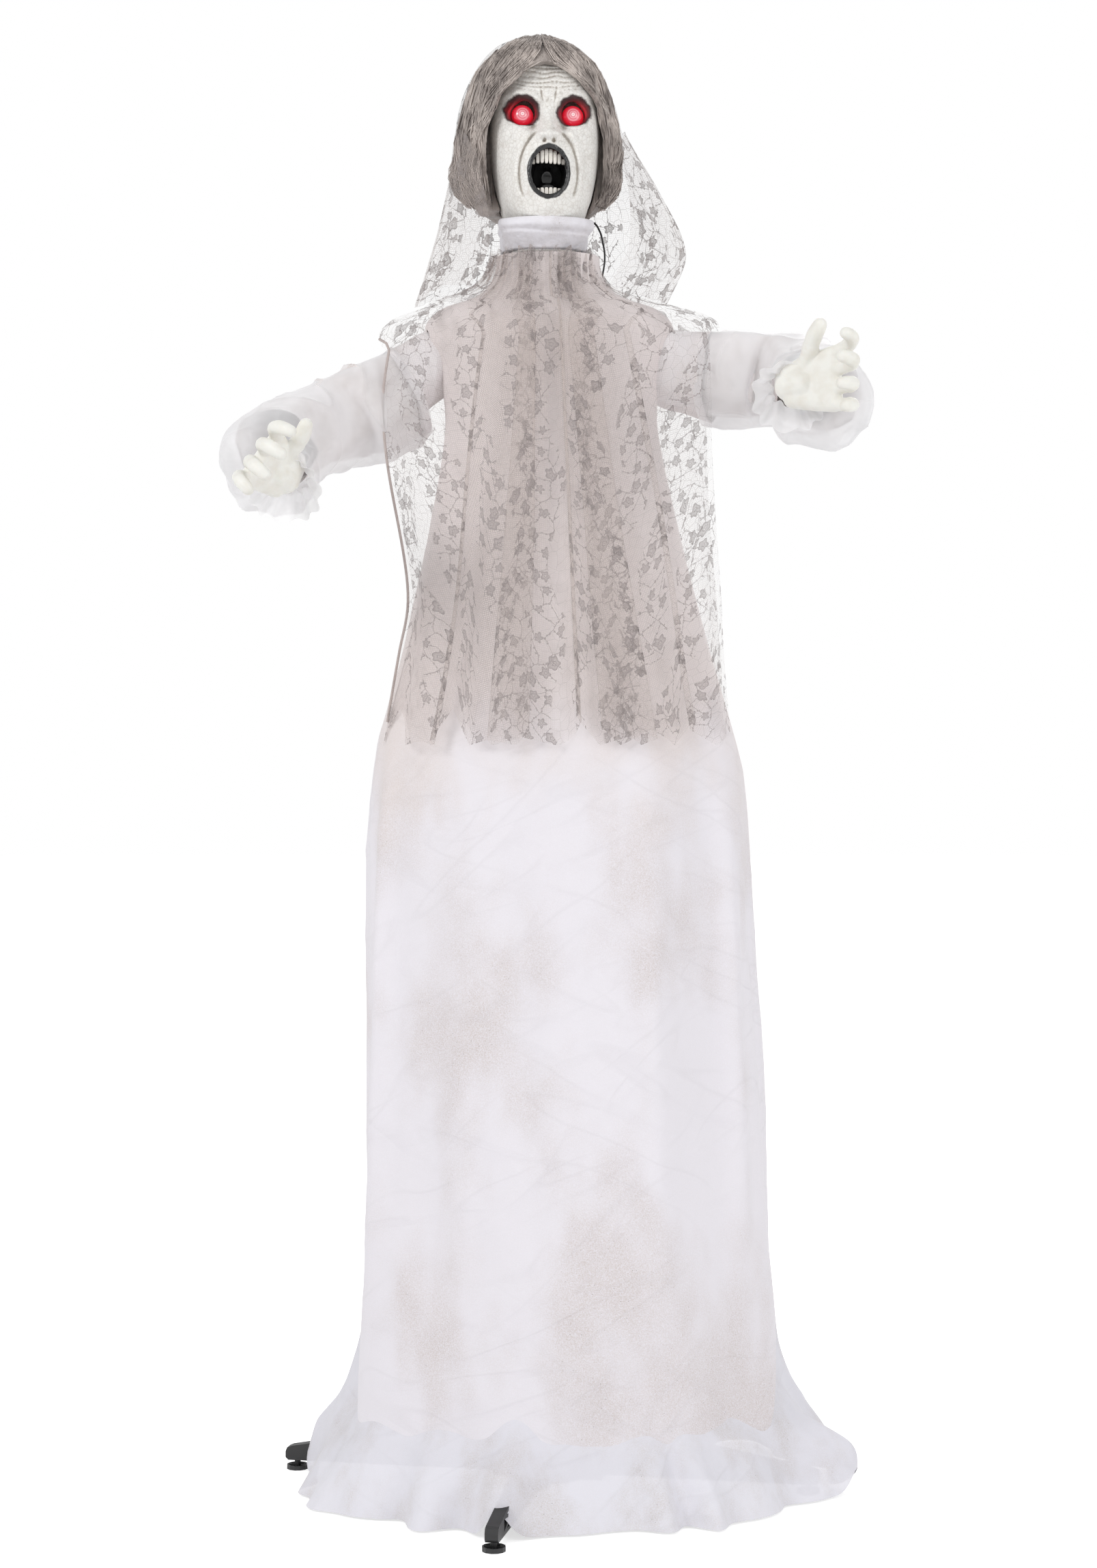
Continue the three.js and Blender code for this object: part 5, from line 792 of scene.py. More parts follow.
def bent(points, rounds=2):  # rounds the corners of a line through the joints
    for _ in range(rounds):
        cut = [points[0]]
        for a, b in zip(points, points[1:]):
            cut += [a.lerp(b, 0.25), a.lerp(b, 0.75)]
        points = cut + [points[-1]]
    return points


for name, arm in arms.items():
    pose = hands[name]
    pivot, upper, fore = sleeveFrame(arm)
    wrist = pivot + upper + fore
    x = Vector(pose["aim"]).normalized()
    y = Vector(pose["thumb"]).cross(x).normalized()
    onHand = Matrix((x, y, x.cross(y))).transposed()
    palmSide = -arm["side"]
    form = bmesh.new()
    even = [(0, 1), (1, 1)]
    for place, long, curl in hands["fingers"]:
        length = hands["finger"] * long
        joints = [Vector((hands["palmLength"] * 0.86, 0, place * hands["palmWidth"]))]
        for bend, leg in zip(hands["bends"], hands["legs"]):
            turn = math.radians(curl * bend)
            joints.append(joints[-1] + length * leg * Vector((math.cos(turn), palmSide * math.sin(turn),
                                                              place * hands["spread"])))
        joints[-1] = joints[-2].lerp(joints[-1], 0.55)
        swell(form, bent(joints), hands["radius"] * (0.82 + 0.18 * long), hands["thickness"])
    for k in range(17):  # the palm, slightly hollow
        place = mix(-0.37, 0.38, k / 16)
        root = Vector((0.004, 0, place * hands["palmWidth"] * 0.5))
        knuckle = Vector((hands["palmLength"] * 0.86, 0, place * hands["palmWidth"]))
        swell(form, [root, root.lerp(knuckle, 0.5) + Vector((0, -palmSide * 0.003, 0)), knuckle], hands["palmThick"],
              [(0, 1), (0.5, 0.95), (1, 0.78)])
    start = Vector((hands["palmLength"] * 0.3, 0, hands["palmWidth"] * 0.26))
    long = hands["thumb"]
    thumb = [start] + [start + Vector((a * long * 0.62, palmSide * b * long, c * long * 0.78))
                       for a, b, c in ((0.3, 0.12, 0.28), (0.6, 0.26, 0.62), (0.94, 0.3, 0.94))]
    swell(form, bent(thumb), hands["radius"] * 1.15, hands["thickness"])
    swell(form, [Vector((0.004, palmSide * 0.004, 0.012)), start], hands["palmThick"], even)
    form.transform(Matrix.Translation(wrist) @ onHand.to_4x4())
    back = wrist - fore.normalized() * hands["wristIn"]
    swell(form, [back, wrist, wrist + onHand @ Vector((0.02, 0, 0))], hands["wrist"], even)
    piece = linkMesh(form, "hand_moulding_" + name, handFinish)
    melt(piece, hands["voxel"], rounds=11)
    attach(piece, "hand_" + name)
    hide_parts("hand_" + name)
print("hands")

# Face mask: one moulding, painted; sizes in millimetres on the unturned head, then turned with it
face = {
    "halfWidth": 70, "front": 93, "eyes": 1714, "eyeSpread": 31.5, "socketDeep": 15, "socketWide": 21,
    "socketTall": 18, "lens": 14.3, "nose": 1684, "noseRoot": 1720, "noseOut": 17, "noseHalf": 9, "mouth": 1639,
    "mouthHalf": 22.5, "mouthTall": 28.5, "lips": 4.5, "lipWide": 6, "wall": 2,
    # how far out, how far from the middle, half width, height on the figure, half height
    "bumps": [(5, 31.5, 21, 1738.3, 9), (6, 11, 4.2, 1686, 6.5), (-8, 5.4, 2.8, 1677.5, 3), (-3.5, 19, 5, 1694, 12),
              (4, 42.5, 21, 1693, 18), (-3, 48, 11, 1655, 20), (4, 0, 18, 1597, 10)],
    # height share, width share, depth share
    "rows": [(0, 0.66, 0.52), (0.09, 0.66, 0.53), (0.125, 0.66, 0.8), (0.165, 0.69, 0.925), (0.215, 0.76, 0.975),
             (0.281, 0.85, 1), (0.41, 0.95, 1), (0.586, 1, 0.98), (0.723, 0.963, 0.957), (0.84, 0.86, 0.86),
             (0.93, 0.667, 0.667), (0.977, 0.415, 0.43), (1, 0.12, 0.13)],
}


def faceRise(x, z):
    side, up = abs(x), z - face["eyes"]
    tilted = up - 0.32 * (side - face["eyeSpread"])
    rise = -face["socketDeep"] * math.exp(-(((side - face["eyeSpread"]) / face["socketWide"]) ** 4)
                                          - (tilted / face["socketTall"]) ** 4)
    rise += 5.5 * hump(tilted - 20, 5.5) * smooth(58, 40, side) * smooth(3, 14, side)
    for height, aside, wide, level, tall in face["bumps"]:  # brows, nose wings, nostrils, cheeks and chin
        rise += height * hump(side - aside, wide) * hump(z - level, tall)
    bridge = min(max((face["noseRoot"] - z) / (face["noseRoot"] - face["nose"]), 0), 1)
    below = hump(z - face["nose"], face["noseHalf"]) if z < face["nose"] else 1
    rise += face["noseOut"] * bridge * below * hump(x, face["noseHalf"] * (0.7 + 0.5 * bridge))
    around = math.hypot(x / face["mouthHalf"], (z - face["mouth"]) / face["mouthTall"]) - 1
    rise += face["lips"] * hump(around * face["mouthHalf"] - 2, face["lipWide"])
    # the fold from the nose down past the mouth
    fold = (math.hypot(x / 36, (z - 1640) / 54) - 1) * 36
    drawn = smooth(1604, 1618, z) * smooth(1698, 1684, z)
    rise += drawn * (3.4 * hump(fold - 6, 5) - 4.2 * hump(fold, 2.4))
    # furrows of the brow, lines of the frown and at the eyes' corners
    brow = smooth(1738, 1746, z) * smooth(1792, 1770, z) * hump(x, 55)
    rise += 0.9 * brow * math.sin(1.0 * (z - 0.004 * x * x) + 4 * ripple(0.05 * x, 0.05 * z))
    rise -= 2.0 * hump(side - 6 - 0.12 * up, 1.7) * hump(z - 1735, 12)
    turn = math.atan2(up, side - face["eyeSpread"])
    away = math.hypot(side - face["eyeSpread"], up)
    rise += 0.8 * math.cos(15 * turn + 3 * ripple(0.1 * x, 0.1 * z)) * hump(away - 33, 8) * (1 if side > 26 else 0.4)
    rise += 2.4 * hump(away - 17.5, 2.2)
    for height, acrossScale, upScale, layer in ((0.9, 0.10, 0.10, 2), (0.45, 0.33, 0.28, 4), (0.25, 0.8, 0.5, 6)):
        rise += height * ripple(acrossScale * x, upScale * z, layer)
    return rise


def maskPlace(u, v):
    across, at = 2 * u - 1, 0.985 * v
    z = (figure["chin"] + at * figure["headHeight"]) * 1000
    width, front = readRows(face["rows"], at)
    angle = math.pi / 2 * (0.75 * across + 0.25 * across ** 3)
    x = width * face["halfWidth"] * math.sin(angle)
    fade = math.cos(angle) ** 0.5 if abs(across) < 0.9999 else 0
    across = abs(math.sin(angle))
    y = -front * face["front"] * max(0, 1 - across ** 2.5) ** 0.4 - fade * faceRise(x, z)
    return Vector((figure["neckX"] + x / 1000, y / 1000, z / 1000))


def openMask(form):  # cuts the eye holes and the mouth, and draws their rims true
    holes = [(side * face["eyeSpread"], face["eyes"], face["lens"] + 0.6, face["lens"] + 0.6) for side in (-1, 1)]
    holes.append((0, face["mouth"], face["mouthHalf"] - 0.5, face["mouthTall"] - 0.5))
    for x, z, wide, tall in holes:
        def share(co):
            return math.hypot(((co.x - figure["neckX"]) * 1000 - x) / wide, (co.z * 1000 - z) / tall)
        inside = [f for f in form.faces if share(f.calc_center_median()) < 1 and f.calc_center_median().y < 0]
        bmesh.ops.delete(form, geom=inside, context="FACES")
        for vert in form.verts:
            if vert.is_boundary and share(vert.co) < 1.2:
                away = share(vert.co)
                vert.co.x = figure["neckX"] + (x + ((vert.co.x - figure["neckX"]) * 1000 - x) / away) / 1000
                vert.co.z = (z + (vert.co.z * 1000 - z) / away) / 1000


# Painted vinyl: matt off-white, crackled finely, darkened in its furrows as painted shade, black lips and dark red
# sockets
def maskPaint(name):
    finish, add, shader, place = newFinish(name, {"IOR": 1.5, "Subsurface Weight": 0.08, "Subsurface Scale": 0.003,
        "Subsurface Radius": (1, 0.85, 0.75)})
    turn = math.radians(figure["headTurn"])
    back = neck - Matrix.Rotation(-turn, 3, "Z") @ neck
    onHead = add("Mapping", {"Vector": place, "Rotation": (0, 0, -turn), "Location": back})
    ragged = add("TexNoise", {"Vector": onHead, "Scale": perMillimetre(9), "Detail": 4})
    raggedAway = add("Math", {0: ragged, 1: 0.5, 2: -0.25}, operation="MULTIPLY_ADD")
    grime = add("TexNoise", {"Vector": onHead, "Scale": perMillimetre(22), "Detail": 5, "Roughness": 0.7})
    crackle = add("TexVoronoi", {"Vector": onHead, "Scale": perMillimetre(5.5), "Detail": 2},
        feature="DISTANCE_TO_EDGE")
    pores = add("TexNoise", {"Vector": onHead, "Scale": perMillimetre(1.6), "Detail": 3})
    hollow = add("NewGeometry")
    grimeShare = add("MapRange", {0: grime, 1: 0.5, 2: 0.72, 4: 0.45})
    color = add("MixRGB", {0: grimeShare, 1: "#f3f1ed", 2: "#cbc4bb"})
    crack = add("MapRange", {0: crackle, 1: 0.0, 2: 0.08, 3: 0.35, 4: 0})
    color = add("MixRGB", {0: crack, 1: color, 2: "#b5aca2"})
    # painted shade: darker grey where the surface folds inward
    furrowShade = add("MapRange", {0: hollow.outputs["Pointiness"], 1: 0.455, 2: 0.497, 3: 0.85, 4: 0})
    color = add("MixRGB", {0: furrowShade, 1: color, 2: "#a39a90"})
    front = add("SeparateXYZ", {0: onHead})
    isFront = add("Math", {0: front.outputs[1], 1: -0.03}, operation="LESS_THAN")
    for side in (-1, 1):  # each socket is sprayed red round the lens, and made darker towards its top, nearly black under the brow
        spot = Vector((figure["neckX"] + side * (face["eyeSpread"] + 1) / 1000, 0, (face["eyes"] + 3) / 1000))
        centred = add("Mapping", {"Vector": onHead, "Location": -spot})
        tilted = add("Mapping", {"Vector": centred, "Rotation": (0, side * math.radians(20), 0)})
        local = add("Mapping", {"Vector": tilted, "Scale": (1 / 0.0245, 0, 1 / 0.0185)})
        away = add("VectorMath", {0: local}, operation="LENGTH")
        rough = add("Math", {0: raggedAway, 1: 0.6, 2: away.outputs["Value"]}, operation="MULTIPLY_ADD")
        paint = add("ValToRGB", {0: rough}, stops=[(0.0, "#d01428"), (0.62, "#c41226"), (0.78, "#7c0c18"),
            (0.92, "#2c1214"), (1.0, "#4a3a3a")])
        above = add("SeparateXYZ", {0: local})
        brow = add("MapRange", {0: above.outputs[2], 1: -0.1, 2: 0.75, 3: 0, 4: 0.92})
        paint = add("MixRGB", {0: brow, 1: paint, 2: "#25090c"})
        cover = add("MapRange", {0: rough, 1: 0.9, 2: 1.06, 3: 1, 4: 0}, interpolation_type="SMOOTHSTEP")
        cover = add("Math", {0: cover, 1: isFront}, operation="MULTIPLY")
        color = add("MixRGB", {0: cover, 1: color, 2: paint})
    mouth = add("Mapping", {"Vector": onHead,
        "Location": (-figure["neckX"] * 1000 / face["mouthHalf"], 0, -face["mouth"] / face["mouthTall"]),
        "Scale": (1000 / face["mouthHalf"], 0, 1000 / face["mouthTall"])})
    mouthAway = add("VectorMath", {0: mouth}, operation="LENGTH")
    lipEdge = add("Math", {0: raggedAway, 1: 0.25, 2: mouthAway.outputs["Value"]}, operation="MULTIPLY_ADD")
    lips = add("MapRange", {0: lipEdge, 1: 1.17, 2: 1.22, 3: 1, 4: 0})
    lips = add("Math", {0: lips, 1: isFront}, operation="MULTIPLY")
    color = add("MixRGB", {0: lips, 1: color, 2: "#1b1a1b"})
    gloss = add("MapRange", {0: lips, 3: 0.58, 4: 0.2})
    relief = add("Math", {0: crack, 1: -0.8, 2: pores}, operation="MULTIPLY_ADD")
    bump = add("Bump", {"Strength": 0.45, "Distance": 0.0006, "Height": relief})
    plug(shader, {"Base Color": color, "Roughness": gloss, "Normal": bump})
    return finish


maskFinish = maskPaint("maskVinyl")
form = clothForm(150, 200, maskPlace, (0.26, 0.26))
openMask(form)
bmesh.ops.delete(form, geom=[v for v in form.verts if not v.link_faces], context="VERTS")
form.transform(headTurned)
maskPiece = linkMesh(form, "mask_front", maskFinish)
thicken(maskPiece, face["wall"] / 1000)
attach(maskPiece, "head")
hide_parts("face_mask")
backPiece = mouldedCopy("head_back", "mask_back", maskFinish, voxel=0.0025, rounds=8)
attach(backPiece, "head")
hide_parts("head_back")
print("mask")


# Teeth: ivory paint, stained in clouds, with painted shade darkening the gaps; mouth: gloss black enamel
def toothEnamel():
    finish, add, shader, place = newFinish("toothPaint", {"Roughness": 0.28, "IOR": 1.5, "Coat Weight": 0.4})
    stain = add("TexNoise", {"Vector": place, "Scale": perMillimetre(6), "Detail": 4})
    hollow = add("NewGeometry")
    # painted shade: dark brown in the gaps between the teeth
    gapShade = add("MapRange", {0: hollow.outputs["Pointiness"], 1: 0.36, 2: 0.46, 3: 0.9, 4: 0})
    share = add("MapRange", {0: stain, 1: 0.5, 2: 0.85})
    color = add("MixRGB", {0: share, 1: "#efeae2", 2: "#b3a99f"})
    color = add("MixRGB", {0: gapShade, 1: color, 2: "#4a4038"})
    plug(shader, {"Base Color": color})
    return finish


def mouthEnamel():
    finish, add, shader, place = newFinish("mouthEnamel", {"Base Color": "#161516", "IOR": 1.5})
    flow = add("TexNoise", {"Vector": place, "Scale": perMillimetre(5), "Detail": 2})
    gloss = add("MapRange", {0: flow, 3: 0.12, 4: 0.3})
    bump = add("Bump", {"Strength": 0.4, "Distance": 0.0008, "Height": flow})
    plug(shader, {"Roughness": gloss, "Normal": bump})
    return finish


toothFinish, mouthFinish = toothEnamel(), mouthEnamel()
teeth = {
    "wide": 5.3, "thick": 5, "arch": 88, "curve": 0.02,
    # row name, how many, the line of their biting edges, and which way they stand from it
    "rows": [("upper_teeth", 8, 1650.5, 1), ("lower_teeth", 8, 1620.5, -1)],
}
for node, count, bite, way in teeth["rows"]:
    form = bmesh.new()
    for k in range(count):
        x = (k - (count - 1) / 2) * teeth["wide"]
        rim = face["mouth"] + way * face["mouthTall"] * math.sqrt(1 - min(0.97, (x / (face["mouthHalf"] + 0.5)) ** 2))
        long = max(abs(rim - bite), 4) + 1.5
        one = bmesh.ops.create_cube(form, size=1)["verts"]
        edges = list({edge for vert in one for edge in vert.link_edges})
        made = bmesh.ops.bevel(form, geom=edges, offset=0.27, segments=4, profile=0.5, affect="EDGES")
        tooth = {vert for side in made["faces"] for vert in side.verts} | {vert for vert in one if vert.is_valid}
        while more := {edge.other_vert(vert) for vert in tooth for edge in vert.link_edges} - tooth:
            tooth |= more
        for vert in tooth:
            narrow = 1 - 0.12 * (0.5 - way * vert.co.z)
            wide = x + vert.co.x * teeth["wide"] * 0.97 * narrow
            deep = vert.co.y * teeth["thick"] + teeth["curve"] * x * x - teeth["arch"] + 0.6 * math.sin(5 * k + way)
            high = bite + way * (long / 2) + vert.co.z * long + 0.5 * math.sin(7 * k + way)
            vert.co = Vector((wide, deep, high)) / 1000
            vert.co.x += figure["neckX"]
    bmesh.ops.recalc_face_normals(form, faces=form.faces)
    form.transform(headTurned)
    piece = linkMesh(form, node + "_row", toothFinish)
    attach(piece, "head")
    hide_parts(node)
piece = mouldedCopy("mouth_liner", "mouth_lining", mouthFinish, voxel=0.0009, rounds=5)
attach(piece, "head")
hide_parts("mouth_liner")


# Eye lens: red polystyrene lit from behind, with the lamp's rings and hot spot showing through
def litLens(name, centre):
    finish, add, shader, place = newFinish(name, {"Roughness": 0.12, "IOR": 1.59, "Emission Strength": 0.95,
        "Base Color": "#3c0408"})
    local = add("Mapping", {"Vector": place, "Location": (-centre.x * 70, 0, -(centre.z + 0.0008) * 70),
        "Scale": (70, 0, 70)})
    away = add("VectorMath", {0: local}, operation="LENGTH")
    rings = add("Math", {0: away.outputs["Value"], 1: 34}, operation="MULTIPLY")
    ringWave = add("Math", {0: rings}, operation="SINE")
    ringShade = add("MapRange", {0: ringWave, 1: 0, 2: 0.9, 3: 0, 4: 0.6})
    glow = add("ValToRGB", {0: away.outputs["Value"]}, stops=[(0.0, "#ffffff"), (0.11, "#fff2f2"), (0.17, "#f08c98"),
        (0.26, "#f7c4ca"), (0.36, "#e8707e"), (0.46, "#f2a4ae"), (0.62, "#e03a4c"), (0.86, "#c81024"),
        (1.0, "#5c0812")])
    inner = add("MapRange", {0: away.outputs["Value"], 1: 0.6, 2: 0.7, 3: 1, 4: 0})
    ringShare = add("Math", {0: ringShade, 1: inner}, operation="MULTIPLY")
    ringed = add("MixRGB", {0: ringShare, 1: glow, 2: "#d0485a"})
    plug(shader, {"Emission Color": ringed})
    return finish


lens = {"radius": 0.0143, "front": 0.0750, "back": 0.0603, "wall": 0.0015}
for name, side in (("left", 1), ("right", -1)):
    form = bmesh.new()
    height = lens["front"] - lens["back"]
    dome = [form.verts.new((lens["radius"] * math.sin(t), -lens["back"] - height * math.cos(t), 0))
            for t in [math.pi / 2 * k / 16 for k in range(17)]]
    edges = [form.edges.new(pair) for pair in zip(dome, dome[1:])]
    bmesh.ops.spin(form, geom=dome + edges, cent=(0, 0, 0), axis=(0, 1, 0), angle=2 * math.pi, steps=48,
                   use_merge=True)
    bmesh.ops.remove_doubles(form, verts=form.verts, dist=1e-6)
    bmesh.ops.recalc_face_normals(form, faces=form.faces)
    centre = Vector((figure["neckX"] + side * face["eyeSpread"] / 1000, 0, face["eyes"] / 1000))
    bmesh.ops.translate(form, verts=form.verts, vec=centre)
    form.transform(headTurned)
    turned = headTurned @ (centre + Vector((0, -lens["front"], 0)))
    piece = linkMesh(form, "lens_dome_" + name, litLens("litLens_" + name, turned))
    thicken(piece, lens["wall"])
    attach(piece, "head")
    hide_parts("eye_lens_" + name)
print("eyes and mouth")

# Neck band: a folded strip of gown cloth, its top lowered under the chin
band = {"bottom": 1.551, "top": 1.594, "radius": 0.0545, "ease": 0.003, "cut": (0.35, 0.046)}


def bandPlace(u, v):
    angle = math.pi / 2 + 2 * math.pi * u
    underChin = smooth(-0.25, -0.85, math.sin(angle))
    z = mix(band["bottom"], band["top"] - 0.007 * underChin, v)
    radius = band["radius"] + band["ease"] * v + 0.027 * underChin * smooth(0, 0.8, v)
    line = 1.5735 + 0.003 * math.sin(angle * 2 + 1)
    radius += -0.0028 * hump(z - line, 0.0022) + 0.0016 * hump(z - line - 0.006, 0.005)
    radius += 0.0014 * ripple(3 * math.cos(angle) * 2, 3 * math.sin(angle) * 2, 60 * z)
    radius -= 0.002 * smooth(0.93, 1, v) + 0.010 * smooth(0.1, 0, v) ** 2
    return Vector((figure["neckX"] + radius * math.cos(angle), radius * math.sin(angle), z))


bandCloth = sprayedSpunbond("bandSpunbond", "#eceaf0", "#b8afab", amount=0.55, patch=30, seed=0.6)
form = clothForm(160, 36, bandPlace, band["cut"], closed=True)
form.transform(headTurned)
bandPiece = linkMesh(form, "neck_cloth", bandCloth)
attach(bandPiece, "head")
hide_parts("neck_band")


# Wig: modacrylic fibre, grey-brown, streaked from root to tip; a combed base under separate locks
def wigFibre(name, pale, dark, grain):
    finish, add, shader, place = newFinish(name, {"IOR": 1.52, "Roughness": 0.5, "Sheen Weight": 0.15})
    drawn = add("Mapping", {"Vector": place, "Scale": grain})
    streak = add("TexNoise", {"Vector": drawn, "Scale": 1, "Detail": 5, "Roughness": 0.65})
    cloud = add("TexNoise", {"Vector": place, "Scale": perMillimetre(40), "Detail": 3})
    both = add("Math", {0: streak, 1: 0.7, 2: cloud}, operation="MULTIPLY_ADD")
    share = add("MapRange", {0: both, 1: 0.70, 2: 0.98})
    color = add("MixRGB", {0: share, 1: dark, 2: pale})
    bump = add("Bump", {"Strength": 0.6, "Distance": 0.0008, "Height": streak})
    plug(shader, {"Base Color": color, "Normal": bump})
    return finish


wig = {
    "bottom": 1.604, "top": 1.830, "halfWidth": 0.101, "front": 0.098, "back": 0.105, "x": -0.007, "wave": 0.003,
    "rows": [(0, 0.71, 0.35, 0.72), (0.16, 0.96, 0.7, 0.87), (0.336, 1, 0.9, 1), (0.48, 0.95, 0.97, 1),
             (0.624, 0.88, 1, 0.98), (0.74, 0.79, 0.97, 0.91), (0.83, 0.67, 0.86, 0.8), (0.93, 0.42, 0.56, 0.52),
             (1, 0.1, 0.14, 0.14)],
    "locks": 1700,
    # height, and how far the face shows to each side of the middle
    "face": [(1.590, 0.058), (1.641, 0.070), (1.667, 0.0725), (1.699, 0.0705), (1.724, 0.0635), (1.741, 0.053),
             (1.752, 0.041), (1.765, 0.024), (1.774, 0.003)],
}


def wigPoint(angle, at, out=0.0):
    width, front, back = readRows(wig["rows"], at)
    wave = (1 - at) * wig["wave"] * math.cos(10 * angle + 3 * at) + out
    depth = wig["front"] * front if math.sin(angle) < 0 else wig["back"] * back
    return Vector((figure["neckX"] + wig["x"] + (width * wig["halfWidth"] + wave) * math.cos(angle),
                   (depth + wave) * math.sin(angle), mix(wig["bottom"], wig["top"], at)))


wigBase = mouldedCopy("wig", "wig_base", wigFibre("wigBase", "#aaa09a", "#6b615c", (420, 420, 26)), voxel=0.0022,
                      rounds=10)
for vert in wigBase.data.vertices:  # the base ends behind the parting of the locks
    spot = headTurned.inverted() @ vert.co
    clear = readRows(wig["face"], spot.z)[0] + 0.003
    side = spot.x - figure["neckX"]
    if spot.y < -0.02 and spot.z < 1.770 and abs(side) < clear:
        spot.x = figure["neckX"] + math.copysign(clear, side)
        spot.y += 0.010
        vert.co = headTurned @ spot
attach(wigBase, "head")
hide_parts("wig")


def lockPath(startAngle, endAngle, startAt, endAt, out, seed):
    points = []
    for k in range(13):
        t = k / 12
        angle = mix(startAngle, endAngle, smooth(0, 0.62, t)) + 0.03 * ripple(seed, 3 * t)
        at = mix(startAt, endAt, t)
        lift = out + 0.0022 * ripple(seed + 7, 4 * t) + 0.0012 * math.sin(11 * t + seed)
        lift += 0.0075 * ripple(4.2 * math.cos(angle), 4.2 * math.sin(angle), 2.2 * t)
        lift += 0.004 * smooth(0.3, 0.8, t) * math.sin(15 * t + 4 * ripple(2 * math.cos(angle), 2 * math.sin(angle)))
        angle += 0.10 * t * t * ripple(0.31 * seed, 5 * t, 2)
        z = mix(wig["bottom"], wig["top"], at)
        if math.sin(angle) < 0 and z < 1.774:
            clear = readRows(wig["face"], z)[0] + 0.001 + 0.012 * abs(ripple(seed, 0.5, 9)) + wig["x"] * (
                -1 if math.cos(angle) > 0 else 1)
            least = clear / (readRows(wig["rows"], at)[0] * wig["halfWidth"])
            if abs(math.cos(angle)) < least < 1:
                angle = -math.acos(math.copysign(least, math.cos(angle)))
        points.append(headTurned @ wigPoint(angle, at, lift))
    return points


curve = newCurve("wig_locks", 0.0011, sides=0)
front = -math.pi / 2  # the angle straight ahead
for n in range(wig["locks"]):
    away = (random.uniform(0, 2 * math.pi) - front + math.pi) % (2 * math.pi) - math.pi  # turn from straight ahead
    side = 1 if away >= 0 else -1
    endAway = side * max(abs(away), random.uniform(0.83, 1.25)) if abs(away) < 0.95 else away
    endAt = max(random.uniform(0, 0.16 if abs(endAway) < 2.2 else 0.1), 0.04)
    startAt = random.uniform(0.88, 0.985) if random.random() < 0.8 else 0.75
    path = lockPath(front + away, front + endAway, startAt, endAt, random.uniform(-0.0008, 0.0032), 0.37 * n)
    spline = curve.splines.new("POLY")
    spline.points.add(len(path) - 1)
    for k, (point, co) in enumerate(zip(spline.points, path)):
        point.co = (*co, 1)
        point.radius = (0.35 + 0.65 * math.sin(math.pi * min(1, 0.15 + k / 12))) * random.uniform(0.8, 1.1)
locks = linkCurve(curve, "wig_locks", wigFibre("wigLocks", "#cabfb8", "#756b66", (260, 260, 18)))
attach(locks, "head")
print("wig")

# Veil: the same lace, pinned at the crown, falling behind the face to the shoulders
veil = {
    "bottom": 1.504, "top": 1.833, "halfWidth": 0.166, "front": 0.112, "back": 0.122, "wave": 0.004, "drop": 0.014,
    "openHalf": 0.092, "cut": (0.74, 0.42), "cutArea": 0.19,
    "rows": [(0, 1, 0.6, 0.92, -0.05), (0.16, 0.99, 0.7, 0.96, 0.11), (0.398, 0.81, 0.9, 0.98, 0.09),
             (0.602, 0.655, 1, 0.975, 0.01), (0.734, 0.59, 1, 0.96, 0), (0.863, 0.47, 0.9, 0.84, 0),
             (0.953, 0.31, 0.6, 0.58, 0), (1, 0.09, 0.17, 0.17, 0)],
    # height share, and how far the veil stands open on the figure's right and left
    "opening": [(0, 0.96, 1.0), (0.4, 1.0, 0.98), (0.55, 1.06, 1.06), (0.7, 1.3, 1.3), (0.85, 1.7, 1.7),
                (1.1, 2.2, 2.2)],
}


def veilPlace(u, at):
    width, front, back, lean = readRows(veil["rows"], at)
    right, left = [min(side * veil["openHalf"] / (width * veil["halfWidth"]), 1)
                   for side in readRows(veil["opening"], min(at, 1.1))]
    # from the figure's right edge round the back to its left edge
    startAngle = -math.pi + math.acos(right) * 0.999
    endAngle = -math.acos(left)
    turn = mix(2 * math.pi + startAngle, endAngle, u)
    folds = (1 - at) * (veil["wave"] * math.cos(6 * turn + 2 * at) + 0.003 * math.cos(23 * turn + 4 * at))
    wide = width * veil["halfWidth"] + folds
    if math.cos(turn) < 0:
        wide *= 1 - 0.13 * (1 - at) ** 2
    deep = (front * veil["front"] if math.sin(turn) < 0 else back * veil["back"]) + folds
    z = mix(veil["bottom"], veil["top"], at)
    z += (1 - smooth(0, 0.15, at)) * (veil["wave"] * math.cos(5 * turn) - veil["drop"] * math.cos(turn) ** 8)
    x = figure["neckX"] + wig["x"] + lean * veil["halfWidth"] + wide * math.cos(turn)
    return Vector((x, deep * math.sin(turn), z))


veilLace = floralLace("veilLace", "#7d7675", "#c4b9b5", net=0.085, flower=23, weight=1.0, seed=0.43)
form = clothForm(260, 150, veilPlace, veil["cut"])
storeGather(form)
layPattern(form)
form.transform(headTurned)
veilPiece = linkMesh(form, "veil_lace", veilLace)
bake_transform(veilPiece)
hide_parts("veil")
print("veil")

